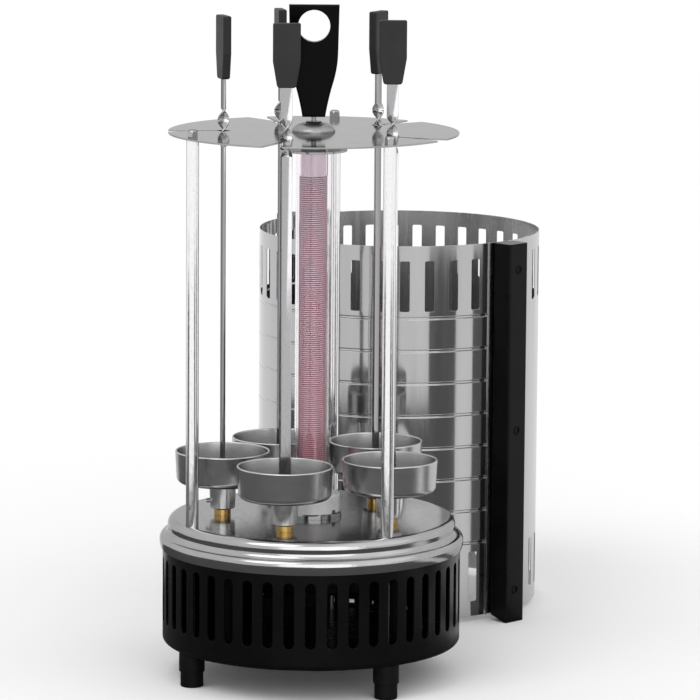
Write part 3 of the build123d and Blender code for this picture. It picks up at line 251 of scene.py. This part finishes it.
def spun_aluminium(name, base, dull, centre, polish, spin, edge, marks=0.003 * MM):
    """Aluminium spun on a lathe about a centre: fine rings, and drawn-out highlights.

    polish is its roughness, from its brightest to its dullest patches, and marks is the depth
    of its tool marks.
    """
    finish = Finish(name, base, Metallic=1.0)
    finish.ease(0.3 * MM)
    rings = finish.noise(finish.turned_place(centre, 0.002), 5200.0, 3.0, 0.7)
    finish.relief(rings, marks, 0.8)
    finish.roughen(finish.noise(finish.turned_place(centre, 0.01), 300.0, 2.0), *polish)
    finish.tint(finish.noise(finish.turned_place(centre, 0.02), 260.0, 4.0), dull)
    finish.spin(spin)
    finish.edge(edge)
    return finish.material


def polished_steel(name, base, dull, stretch, polish, edge=1.0):
    """Bright rolled sheet with faint marks along the rolling direction.

    polish is its roughness, from its brightest to its dullest patches.
    """
    finish = Finish(name, base, Metallic=1.0)
    finish.ease(0.3 * MM)
    streaks = finish.noise(finish.place(stretch), 900.0, 4.0, 0.65)
    finish.relief(streaks, 0.0015 * MM, 0.6)
    finish.relief(finish.noise(finish.place(), 9.0, 2.0), 0.12 * MM, 0.5)
    finish.roughen(finish.noise(finish.place(stretch), 220.0, 4.0), *polish)
    finish.tint(finish.noise(finish.place(stretch), 60.0, 5.0), dull)
    finish.edge(edge)
    return finish.material


def chrome(name, base, speck):
    """Bright plating with faint waves and a few dull specks, darker where it curves away."""
    finish = Finish(name, base, Metallic=1.0)
    finish.ease(0.2 * MM)
    finish.relief(finish.noise(finish.place((1, 1, 0.25)), 320.0, 3.0), 0.02 * MM, 0.6)
    finish.roughen(finish.noise(finish.place((1, 1, 0.4)), 500.0, 5.0), 0.06, 0.16)
    finish.tint(finish.noise(finish.place(), 900.0, 4.0), speck, 0.55, 0.8)
    finish.edge(0.3)
    return finish.material


def plated_steel(name="plated_steel", base=(0.4, 0.4, 0.39), dull=(0.3, 0.3, 0.29)):
    """Zinc-plated steel with a cloudy grain."""
    finish = Finish(name, base, Metallic=1.0)
    finish.ease(0.3 * MM)
    finish.relief(finish.noise(finish.place(), 1400.0, 3.0), 0.01 * MM)
    finish.roughen(finish.noise(finish.place(), 300.0, 5.0), 0.28, 0.45)
    finish.tint(finish.noise(finish.place(), 90.0, 5.0), dull)
    return finish.material


def brass():
    """Turned brass with a fine tool mark."""
    finish = Finish("brass", (0.72, 0.48, 0.18), Metallic=1.0)
    finish.ease(0.3 * MM)
    finish.relief(finish.noise(finish.place((0.1, 0.1, 1)), 4200.0, 2.0), 0.01 * MM)
    finish.roughen(finish.noise(finish.place(), 500.0, 4.0), 0.16, 0.3)
    finish.tint(finish.noise(finish.place(), 160.0, 5.0), (0.5, 0.31, 0.1))
    return finish.material


def white_ceramic():
    """Glazed ceramic: a soft sheen over a slightly uneven body."""
    finish = Finish(
        "white_ceramic", (0.93, 0.92, 0.92), Coat_Weight=0.4, Coat_Roughness=0.1
    )
    finish.ease(0.6 * MM)
    finish.relief(finish.noise(finish.place(), 380.0, 3.0), 0.02 * MM)
    finish.roughen(finish.noise(finish.place(), 120.0, 4.0), 0.22, 0.38)
    finish.tint(finish.noise(finish.place(), 45.0, 5.0), (0.84, 0.83, 0.83))
    return finish.material


def heater_ceramic():
    """Pearly glaze of the heater's core, lilac above and pinker towards its foot."""
    finish = Finish("pink_ceramic", (0.93, 0.56, 0.6), Metallic=0.35)
    finish.relief(finish.noise(finish.place(), 380.0, 3.0), 0.02 * MM)
    finish.roughen(finish.noise(finish.place((1, 1, 0.1)), 240.0, 4.0), 0.16, 0.28)
    height = finish.node(
        "ShaderNodeSeparateXYZ",
        {0: finish.node("ShaderNodeTexCoord").outputs["Object"]},
    ).outputs["Z"]
    low, high = bottom_of("heater_core"), top_of("heater_core")
    warmed = finish.mix(
        finish.between(height, 0.0, 1.0, low, high), finish.base, (0.84, 0.74, 0.8)
    )
    cloud = finish.between(finish.noise(finish.place(), 45.0, 5.0), 0.0, 0.35)
    mixed = finish.mix(cloud, warmed, (0.86, 0.64, 0.7))
    finish.tree.links.new(mixed, finish.shader.inputs["Base Color"])
    return finish.material


def plastic(name, base, worn, gloss, grain_scale, grain_depth, shine):
    """Moulded plastic with a fine grain and small differences in its gloss."""
    finish = Finish(name, base, Specular_IOR_Level=shine)
    finish.ease(0.4 * MM)
    finish.relief(finish.noise(finish.place(), grain_scale, 2.0), grain_depth)
    finish.roughen(finish.noise(finish.place(), 70.0, 5.0), *gloss)
    finish.tint(finish.noise(finish.place(), 25.0, 5.0), worn)
    return finish.material


def quartz():
    """Clear tube, with faint drawing lines along its length."""
    finish = Finish(
        "quartz", (0.99, 0.97, 0.99), IOR=1.45, Transmission_Weight=1.0
    )
    lines = finish.noise(finish.place((1, 1, 0.01)), 900.0, 3.0)
    finish.relief(lines, 0.004 * MM, 0.5)
    finish.roughen(lines, 0.01, 0.05)
    finish.tint(finish.noise(finish.place((1, 1, 0.05)), 120.0, 3.0), (0.97, 0.93, 0.97))
    return finish.material


def winding_wire():
    """Oxidised resistance wire, redder where it has run hot."""
    finish = Finish("resistance_wire", (0.36, 0.06, 0.1), Metallic=0.35)
    finish.relief(finish.noise(finish.place(), 2500.0, 2.0), 0.01 * MM)
    finish.roughen(finish.noise(finish.place(), 900.0, 3.0), 0.35, 0.55)
    finish.tint(finish.noise(finish.place((0.2, 0.2, 1)), 60.0, 3.0), (0.34, 0.09, 0.14))
    return finish.material


COVER_ALUMINIUM, DULL_COVER = (0.42, 0.42, 0.42), (0.37, 0.37, 0.37)
PLATE_ALUMINIUM, DULL_PLATE = (0.38, 0.38, 0.38), (0.33, 0.33, 0.33)
CUP_ALUMINIUM, DULL_CUP = (0.52, 0.52, 0.52), (0.46, 0.46, 0.46)
HUB_ALUMINIUM, DULL_HUB = (0.66, 0.66, 0.66), (0.6, 0.6, 0.6)
SHEET_STEEL, DULL_SHEET = (0.48, 0.48, 0.485), (0.43, 0.43, 0.435)
BACK_STEEL, DULL_BACK = (0.5, 0.5, 0.505), (0.44, 0.44, 0.445)
ROLLED_LEVEL = (1, 1, 4)
ROLLED_UPRIGHT = (1, 1, 0.05)

FINISHES = {
    "black_enamel": black_enamel(),
    "brushed_aluminium": spun_aluminium(
        "brushed_aluminium",
        COVER_ALUMINIUM,
        DULL_COVER,
        GRILL,
        polish=(0.12, 0.18),
        spin=0.3,
        edge=0.65,
    ),
    "polished_aluminium": polished_steel(
        "polished_aluminium",
        PLATE_ALUMINIUM,
        DULL_PLATE,
        ROLLED_LEVEL,
        polish=(0.06, 0.12),
        edge=0.6,
    ),
    "chrome_tube": chrome("chrome_tube", (0.9, 0.9, 0.9), (0.6, 0.6, 0.61)),
    "polished_steel": polished_steel(
        "polished_steel",
        SHEET_STEEL,
        DULL_SHEET,
        ROLLED_UPRIGHT,
        polish=(0.06, 0.12),
    ),
    "plated_steel": plated_steel(),
    "brass": brass(),
    "white_ceramic": white_ceramic(),
    "pink_ceramic": heater_ceramic(),
    "quartz": quartz(),
    "resistance_wire": winding_wire(),
    "gloss_black_plastic": plastic(
        "gloss_black_plastic",
        (0.0015, 0.0015, 0.0018),
        (0.0025, 0.0025, 0.0028),
        gloss=(0.12, 0.2),
        grain_scale=300.0,
        grain_depth=0.01 * MM,
        shine=0.06,
    ),
    "satin_black_plastic": plastic(
        "satin_black_plastic",
        (0.012, 0.012, 0.013),
        (0.017, 0.017, 0.018),
        gloss=(0.5, 0.6),
        grain_scale=1600.0,
        grain_depth=0.02 * MM,
        shine=0.3,
    ),
    "black_plastic": plastic(
        "black_plastic",
        (0.002, 0.002, 0.0022),
        (0.004, 0.004, 0.0042),
        gloss=(0.25, 0.38),
        grain_scale=1200.0,
        grain_depth=0.02 * MM,
        shine=0.12,
    ),
    "white_plastic": plastic(
        "white_plastic",
        (0.7, 0.69, 0.66),
        (0.62, 0.61, 0.58),
        gloss=(0.35, 0.5),
        grain_scale=900.0,
        grain_depth=0.02 * MM,
        shine=0.5,
    ),
    "black_rubber": plastic(
        "black_rubber",
        (0.003, 0.003, 0.0035),
        (0.006, 0.006, 0.0065),
        gloss=(0.32, 0.46),
        grain_scale=1100.0,
        grain_depth=0.02 * MM,
        shine=0.15,
    ),
}

record = frame["record"]
slot_of = {part["node"]: part["material_slot"] for part in record["subparts"]}


def dress(node, material):
    """Gives a node one material."""
    nodes[node].data.materials.clear()
    nodes[node].data.materials.append(material)


for name in nodes:
    dress(name, FINISHES.get(slot_of[name], FINISHES["plated_steel"]))

# the casing's plain back shell is duller than its ribbed front shell
dress(
    "casing_shell_back",
    polished_steel(
        "satin_steel",
        BACK_STEEL,
        DULL_BACK,
        ROLLED_UPRIGHT,
        polish=(0.2, 0.3),
    ),
)

# the top plate and its dome are darker than the rolled casing, the dome satin
dress("top_plate", FINISHES["polished_aluminium"])
dress("heater_top_disc", FINISHES["polished_aluminium"])
dress(
    "dome_boss",
    spun_aluminium(
        "satin_dome",
        PLATE_ALUMINIUM,
        DULL_PLATE,
        middle("dome_boss"),
        polish=(0.32, 0.42),
        spin=0.4,
        edge=0.6,
    ),
)

# the casing's handles are darker and glossier than the finish of their slot
for handle in ("casing_handle_left", "casing_handle_right"):
    dress(handle, FINISHES["black_plastic"])

# each cup and hub is spun round its own axis
for number in STATIONS:
    cup = middle(f"drip_cup_{number}")
    FINISHES[f"cup_{number}"] = spun_aluminium(
        f"satin_aluminium_{number}",
        CUP_ALUMINIUM,
        DULL_CUP,
        cup,
        polish=(0.24, 0.27),
        spin=0.3,
        edge=0.8,
        marks=0.0005 * MM,
    )
    FINISHES[f"hub_{number}"] = spun_aluminium(
        f"turned_aluminium_{number}",
        HUB_ALUMINIUM,
        DULL_HUB,
        cup,
        polish=(0.16, 0.24),
        spin=0.5,
        edge=0.8,
    )
    dress(f"cup_hub_{number}", FINISHES[f"hub_{number}"])


# ---------------------------------------------------------------- mesh helpers
def piece(name, mesh, material, body, sharp=35.0):
    """Object of a bmesh, smooth apart from its sharp edges, that rides on a body."""
    data = bpy.data.meshes.new(name)
    bmesh.ops.recalc_face_normals(mesh, faces=mesh.faces)
    mesh.to_mesh(data)
    mesh.free()
    data.polygons.foreach_set("use_smooth", [True] * len(data.polygons))
    data.set_sharp_from_angle(angle=math.radians(sharp))
    obj = bpy.data.objects.new(name, data)
    bpy.context.scene.collection.objects.link(obj)
    data.materials.append(material)
    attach(obj, body)
    return obj


CUT_LIMIT = 0.45    # largest share of a side that a rounded corner takes


def rounded(points, radius, steps):
    """Closed outline of 2-D points with each corner rounded by a radius."""
    result = []
    count = len(points)
    for index in range(count):
        before, corner, after = (
            Vector(points[index - 1]),
            Vector(points[index]),
            Vector(points[(index + 1) % count]),
        )
        to_before, to_after = before - corner, after - corner
        cut = min(radius, CUT_LIMIT * to_before.length, CUT_LIMIT * to_after.length)
        start = corner + to_before.normalized() * cut
        end = corner + to_after.normalized() * cut
        for step in range(steps + 1):
            share = step / steps
            result.append(
                start * (1 - share) ** 2 + corner * 2 * share * (1 - share) + end * share**2
            )
    return result


def skin(mesh, rings):
    """Faces between rings of vertices in a row, and over the first and the last."""
    count = len(rings[0])
    for near, far in zip(rings, rings[1:]):
        for k in range(count):
            following = (k + 1) % count
            mesh.faces.new((near[k], near[following], far[following], far[k]))
    mesh.faces.new(rings[0])
    mesh.faces.new(rings[-1])


def lathe(outline, centre, segments=160):
    """Mesh made by turning a closed outline of (radius, height) round an upright axis."""
    mesh = bmesh.new()
    rings = []
    for index in range(segments):
        angle = FULL_TURN * index / segments
        rings.append(
            [
                mesh.verts.new(
                    (
                        centre.x + point[0] * math.cos(angle),
                        centre.y + point[0] * math.sin(angle),
                        point[1],
                    )
                )
                for point in outline
            ]
        )
    count = len(outline)
    for index in range(segments):
        near, far = rings[index], rings[(index + 1) % segments]
        for point in range(count):
            following = (point + 1) % count
            mesh.faces.new((near[point], near[following], far[following], far[point]))
    return mesh


def tube_along(points, radius, sides):
    """Closed mesh of a round wire along a row of points."""
    mesh = bmesh.new()
    rings = []
    side = Vector((0, 0, 1))
    for index, point in enumerate(points):
        before = points[max(index - 1, 0)]
        after = points[min(index + 1, len(points) - 1)]
        forward = (after - before).normalized()
        side = side - forward * side.dot(forward)
        if side.length < TINY:
            side = forward.orthogonal()
        side.normalize()
        other = forward.cross(side)
        rings.append(
            [
                mesh.verts.new(
                    point
                    + (
                        side * math.cos(FULL_TURN * k / sides)
                        + other * math.sin(FULL_TURN * k / sides)
                    )
                    * radius
                )
                for k in range(sides)
            ]
        )
    skin(mesh, rings)
    return mesh


# ---------------------------------------------------------------- heater winding
WINDING_TURNS = 139
WINDING_WIRE_R = 0.29 * MM
WINDING_R = 10.0 * MM
WINDING_LOW = 0.156
WINDING_HIGH = 0.364
WINDING_LEAD = 1.5 * MM         # run from a straight end to the first turn
STEPS_PER_TURN = 28
WIRE_SIDES = 6

heater_low = bottom_of("heater_core")
heater_high = top_of("heater_core")
axis = middle("heater_core")
winding_path = [
    Vector((axis.x + WINDING_R, axis.y, heater_low)),
    Vector((axis.x + WINDING_R, axis.y, WINDING_LOW - WINDING_LEAD)),
]
for step in range(WINDING_TURNS * STEPS_PER_TURN + 1):
    angle = FULL_TURN * step / STEPS_PER_TURN
    share = step / (WINDING_TURNS * STEPS_PER_TURN)
    winding_path.append(
        Vector(
            (
                axis.x + WINDING_R * math.cos(angle),
                axis.y + WINDING_R * math.sin(angle),
                WINDING_LOW + (WINDING_HIGH - WINDING_LOW) * share,
            )
        )
    )
winding_path += [
    Vector((axis.x + WINDING_R, axis.y, WINDING_HIGH + WINDING_LEAD)),
    Vector((axis.x + WINDING_R, axis.y, heater_high)),
]
winding = piece(
    "heater_winding",
    tube_along(winding_path, WINDING_WIRE_R, WIRE_SIDES),
    FINISHES["resistance_wire"],
    "grill_frame",
    sharp=80.0,
)
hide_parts("heater_spiral")

# ---------------------------------------------------------------- cups with rolled rims
CUP_WALL = 0.8 * MM
CUP_TAPER = math.radians(3.0)
CUP_CORNER = 4.5 * MM
CUP_BEAD_R = 0.75 * MM
CUP_HOLE_R = 7.1 * MM
CORNER_STEPS = 9
BEAD_STEPS = 11
BEAD_START, BEAD_END = math.radians(-20.0), math.radians(180.0)


def arc(centre_r, centre_z, radius, start, end, count):
    """Points (radius, height) on an arc, from one angle to another."""
    angles = [start + (end - start) * step / (count - 1) for step in range(count)]
    return [
        (centre_r + radius * math.cos(angle), centre_z + radius * math.sin(angle))
        for angle in angles
    ]


for number in STATIONS:
    cup = f"drip_cup_{number}"
    centre, rim_r = middle(cup), reach(cup)
    low, high = bottom_of(cup), top_of(cup)
    foot_r = rim_r - (high - low) * math.tan(CUP_TAPER)
    corner_r = foot_r + CUP_CORNER * math.tan(CUP_TAPER) - CUP_CORNER / math.cos(CUP_TAPER)
    corner_at = (corner_r, low + CUP_CORNER)
    bead_at = (rim_r - CUP_BEAD_R, high - CUP_BEAD_R)
    outline = [
        (CUP_HOLE_R, low),
        *arc(*corner_at, CUP_CORNER, -math.pi / 2, -CUP_TAPER, CORNER_STEPS),
        *arc(*bead_at, CUP_BEAD_R, BEAD_START, BEAD_END, BEAD_STEPS),
        *arc(*corner_at, CUP_CORNER - CUP_WALL, -CUP_TAPER, -math.pi / 2, CORNER_STEPS),
        (CUP_HOLE_R, low + CUP_WALL),
    ]
    spun = piece(
        f"spun_cup_{number}",
        lathe(outline, centre),
        FINISHES[f"cup_{number}"],
        f"station_{number}",
    )
    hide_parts(cup)

# ---------------------------------------------------------------- skewers with smooth twists
BLADE_HALF_WIDTH = 4.2 * MM
BLADE_HALF_THICK = 0.8 * MM
BLADE_EDGE = 0.35 * MM
BLADE_EDGE_STEPS = 2
TWIST_LOW = 0.3845
TWIST_HIGH = 0.4116
TWIST_STEPS = 72
POINT_LENGTH = 6 * MM
POINT_SHARE = 0.48              # width of the blade's end, as a share of its whole width
GRIP_FACINGS = (-72.0, 180.0, 0.0, 62.0, -79.0)     # bearing of each grip's flat side

# a darker copy of the chrome for the blades and cap nuts: painted shade that darkens their
# reflections
shaded_chrome = chrome("shaded_chrome", (0.42, 0.42, 0.43), (0.32, 0.32, 0.33))
dress("cap_nuts", shaded_chrome)

for number, grip_facing in zip(STATIONS, GRIP_FACINGS):
    blade = f"skewer_blade_{number}"
    centre = middle(blade)
    tip, top = bottom_of(blade), top_of(blade)
    levels = [(tip, 0.0, POINT_SHARE), (tip + POINT_LENGTH, 0.0, 1.0)]
    for step in range(TWIST_STEPS + 1):
        share = step / TWIST_STEPS
        levels.append((TWIST_LOW + (TWIST_HIGH - TWIST_LOW) * share, FULL_TURN * share, 1.0))
    levels.append((top, FULL_TURN, 1.0))
    outline = rounded(
        [
            (-BLADE_HALF_WIDTH, -BLADE_HALF_THICK),
            (BLADE_HALF_WIDTH, -BLADE_HALF_THICK),
            (BLADE_HALF_WIDTH, BLADE_HALF_THICK),
            (-BLADE_HALF_WIDTH, BLADE_HALF_THICK),
        ],
        BLADE_EDGE,
        BLADE_EDGE_STEPS,
    )
    along = outward(grip_facing - 90)
    aside = outward(grip_facing)
    mesh = bmesh.new()
    rings = []
    for height, turn, width_share in levels:
        across = along * math.cos(turn) + aside * math.sin(turn)
        through = aside * math.cos(turn) - along * math.sin(turn)
        middle_point = Vector((centre.x, centre.y, height))
        rings.append(
            [
                mesh.verts.new(
                    middle_point + across * point[0] * width_share + through * point[1]
                )
                for point in outline
            ]
        )
    skin(mesh, rings)
    twisted = piece(
        f"twisted_blade_{number}",
        mesh,
        shaded_chrome,
        f"skewer_{number}",
        sharp=50.0,
    )
    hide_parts(blade)

# ---------------------------------------------------------------- small fittings
HANDLE_BEARING = 45.0
HANDLE_STANDOFF = 1.3 * MM
HANDLE_DEPTH = 16.6 * MM
HANDLE_FACE_R = CASING_R + HANDLE_STANDOFF + HANDLE_DEPTH
PLUG_R = 3.4 * MM
PLUG_RISE = 0.35 * MM
PLUG_DISH = 0.25 * MM
PLUG_PROFILE = (                # share of the plug's radius, and height over the handle's face
    (1.0, -PLUG_RISE),
    (1.0, PLUG_RISE * 0.6),
    (0.92, PLUG_RISE),
    (0.78, PLUG_RISE),
    (0.55, PLUG_RISE - PLUG_DISH),
)
PLUG_MARGIN = 20.0 * MM
PLUG_SIDES = 40

casing_low, casing_high = bottom_of("casing_shell_front"), top_of("casing_shell_front")
plug_heights = (
    casing_low + PLUG_MARGIN,
    (casing_low + casing_high) / 2,
    casing_high - PLUG_MARGIN,
)


def plug(bearing, height):
    """Mesh of a shallow dished plug over a screw, on the outer face of a casing handle."""
    out = outward(bearing)
    across = outward(bearing + 90)
    start = CASING.xy.to_3d() + out * HANDLE_FACE_R + Vector((0, 0, height))
    angles = [FULL_TURN * k / PLUG_SIDES for k in range(PLUG_SIDES)]
    mesh = bmesh.new()
    rings = [
        [
            mesh.verts.new(
                start
                + out * rise
                + across * PLUG_R * share * math.cos(angle)
                + Vector((0, 0, PLUG_R * share * math.sin(angle)))
            )
            for angle in angles
        ]
        for share, rise in PLUG_PROFILE
    ]
    skin(mesh, rings)
    return mesh


for side, bearing in (("right", HANDLE_BEARING), ("left", HANDLE_BEARING + 180)):
    for number, height in enumerate(plug_heights, 1):
        piece(
            f"screw_plug_{side}_{number}",
            plug(bearing, height),
            FINISHES["gloss_black_plastic"],
            "casing",
        )

# spring clip that holds the heater's ceramic seat down
CLIP_BEARING = 50.0
CLIP_WIDTH = 3.0 * MM
CLIP_SHEET = 0.5 * MM
CLIP_RISE = 2.4 * MM
CLIP_GAP = 0.05 * MM            # between the clip and the ceramic seat
CLIP_BEND_R = 0.2 * MM
CLIP_BEND_STEPS = 2
seat = middle("heater_seat_ring")
seat_top = top_of("heater_seat_ring")
clip_out = outward(CLIP_BEARING)
clip_across = outward(CLIP_BEARING + 90)
clip_inner_r = reach("heater_ceramic_base") + CLIP_GAP
clip_outer_r = reach("heater_ceramic_base") + CLIP_SHEET
clip_foot_r = reach("heater_seat_ring")
clip_outline = rounded(
    [
        (clip_inner_r, 0.0),
        (clip_foot_r, 0.0),
        (clip_foot_r, CLIP_SHEET),
        (clip_outer_r, CLIP_SHEET * 1.5),
        (clip_outer_r, CLIP_RISE),
        (clip_inner_r, CLIP_RISE),
    ],
    CLIP_BEND_R,
    CLIP_BEND_STEPS,
)
clip_mesh = bmesh.new()
clip_sides = [
    [
        clip_mesh.verts.new(
            seat.xy.to_3d()
            + clip_out * point[0]
            + clip_across * half
            + Vector((0, 0, seat_top + point[1]))
        )
        for point in clip_outline
    ]
    for half in (-CLIP_WIDTH / 2, CLIP_WIDTH / 2)
]
skin(clip_mesh, clip_sides)
piece(
    "seat_clip",
    clip_mesh,
    plated_steel("dark_steel", (0.1, 0.1, 0.1), (0.07, 0.07, 0.07)),
    "grill_frame",
)

# ---------------------------------------------------------------- floor and backdrop
FLOOR_HALF = 60.0
FLOOR_WHITE = (0.99, 0.99, 0.99)    # as it is seen
FLOOR_BOUNCE = (0.75, 0.75, 0.75)   # as it lights the object


def floor_material():
    """White floor: bright to the camera and to reflections, and it keeps shadows."""
    material = bpy.data.materials.new("studio_floor")
    material.use_nodes = True
    tree = material.node_tree
    shader = tree.nodes["Principled BSDF"]
    matt(shader)
    mix = tree.nodes.new("ShaderNodeMix")
    mix.data_type = "RGBA"
    tree.links.new(seen_by_eye(tree), mix.inputs[0])
    mix.inputs[6].default_value = (*FLOOR_BOUNCE, 1)
    mix.inputs[7].default_value = (*FLOOR_WHITE, 1)
    tree.links.new(mix.outputs[2], shader.inputs["Base Color"])
    return material


floor_data = bpy.data.meshes.new("studio_floor")
floor_data.from_pydata(
    [
        (-FLOOR_HALF, -FLOOR_HALF, 0),
        (FLOOR_HALF, -FLOOR_HALF, 0),
        (FLOOR_HALF, FLOOR_HALF, 0),
        (-FLOOR_HALF, FLOOR_HALF, 0),
    ],
    [],
    [(0, 1, 2, 3)],
)
floor_data.materials.append(floor_material())
floor = bpy.data.objects.new("studio_floor", floor_data)
bpy.context.scene.collection.objects.link(floor)

# dark cards just over the studio floor, which only reflections see: they paint dark
# reflections on the metals. A ray from the camera meets the casing at some bearing and leaves
# it at twice that bearing, sloping down to the floor
MAT_RISE = 0.5 * MM
# grey of the cards, painted as dark reflections on the metals
PAINTED_REFLECTION_SHADE = 0.14
MAT_STEP = 3.0
reflection_card_material = bpy.data.materials.new("painted_reflection_card")
reflection_card_material.use_nodes = True
reflection_card_shader = reflection_card_material.node_tree.nodes["Principled BSDF"]
reflection_card_shader.inputs["Base Color"].default_value = (PAINTED_REFLECTION_SHADE, PAINTED_REFLECTION_SHADE, PAINTED_REFLECTION_SHADE, 1)
matt(reflection_card_shader)


def painted_reflection_mat(name, first, last, near, far):
    """Card that paints a dark reflection on the casing between two of its bearings, from near
    to far from it.
    """
    mesh = bmesh.new()
    steps = max(2, round((last - first) / MAT_STEP))
    rows = []
    for step in range(steps + 1):
        bearing = first + (last - first) * step / steps
        start = CASING.xy.to_3d() + outward(bearing) * CASING_R + Vector((0, 0, MAT_RISE))
        way = outward(2 * bearing)
        rows.append([mesh.verts.new(start + way * distance) for distance in (near, far)])
    for one, other in zip(rows, rows[1:]):
        mesh.faces.new((one[0], one[1], other[1], other[0]))
    data = bpy.data.meshes.new(name)
    mesh.to_mesh(data)
    mesh.free()
    data.materials.append(reflection_card_material)
    obj = bpy.data.objects.new(name, data)
    bpy.context.scene.collection.objects.link(obj)
    # the camera, the light and the shadows pass the card by: it only paints dark reflections
    obj.visible_camera = False
    obj.visible_diffuse = False
    obj.visible_shadow = False
    obj.visible_transmission = False


MAT_NEAR, MAT_MIDDLE, MAT_FAR = 0.0, 1.0, 2.2
painted_reflection_mat("painted_reflection_front", first=-60.0, last=23.5, near=MAT_NEAR, far=MAT_MIDDLE)
painted_reflection_mat("painted_reflection_right", first=31.2, last=42.0, near=MAT_NEAR, far=MAT_FAR)
painted_reflection_mat("painted_reflection_front_far", first=12.0, last=23.5, near=MAT_MIDDLE, far=MAT_FAR)
painted_reflection_mat("painted_reflection_left_far", first=-42.0, last=-25.0, near=MAT_MIDDLE, far=MAT_FAR)

# ---------------------------------------------------------------- world and lamps
WORLD_LIGHT = 0.7
WORLD_WHITE = 1.0
world = bpy.data.worlds.new("studio")
bpy.context.scene.world = world
world.use_nodes = True
tree = world.node_tree
background = tree.nodes["Background"]
background.inputs["Color"].default_value = (1, 1, 1, 1)
strength = tree.nodes.new("ShaderNodeMapRange")
tree.links.new(seen_by_eye(tree), strength.inputs[0])
strength.inputs[3].default_value = WORLD_LIGHT
strength.inputs[4].default_value = WORLD_WHITE
tree.links.new(strength.outputs[0], background.inputs["Strength"])


def sun(name, bearing, elevation, power, spread):
    """Far soft lamp that shines from a bearing and elevation."""
    data = bpy.data.lights.new(name, "SUN")
    data.energy = power
    data.angle = math.radians(spread)
    lamp = bpy.data.objects.new(name, data)
    height = math.radians(elevation)
    source = outward(bearing) * math.cos(height) + Vector((0, 0, math.sin(height)))
    lamp.rotation_euler = source.to_track_quat("Z", "Y").to_euler()
    bpy.context.scene.collection.objects.link(lamp)


sun("key", bearing=-40.0, elevation=52.0, power=0.7, spread=35.0)
sun("front", bearing=5.0, elevation=14.0, power=1.1, spread=60.0)
sun("fill", bearing=60.0, elevation=40.0, power=0.3, spread=60.0)

# ---------------------------------------------------------------- camera
CAMERA_PLACE = Vector((-0.02207, -3.40339, 0.75363))
CAMERA_PITCH = 8.961
CAMERA_YAW = 0.295
CAMERA_ROLL = 0.39
CAMERA_LENS_MM = 236.52
SENSOR_WIDTH_MM = 36.0
VIEW_END = 200.0
camera_aim = Euler((math.radians(90 - CAMERA_PITCH), 0, math.radians(-CAMERA_YAW)))
camera_tilt = Matrix.Rotation(math.radians(CAMERA_ROLL), 3, "Z")
camera_data = bpy.data.cameras.new("photo_camera")
camera_data.sensor_width = SENSOR_WIDTH_MM
camera_data.lens = CAMERA_LENS_MM
camera_data.clip_end = VIEW_END
camera = bpy.data.objects.new("photo_camera", camera_data)
camera.location = CAMERA_PLACE
camera.rotation_euler = (camera_aim.to_matrix() @ camera_tilt).to_euler()
bpy.context.scene.collection.objects.link(camera)
bpy.context.scene.camera = camera
bpy.context.scene.view_settings.view_transform = "Standard"
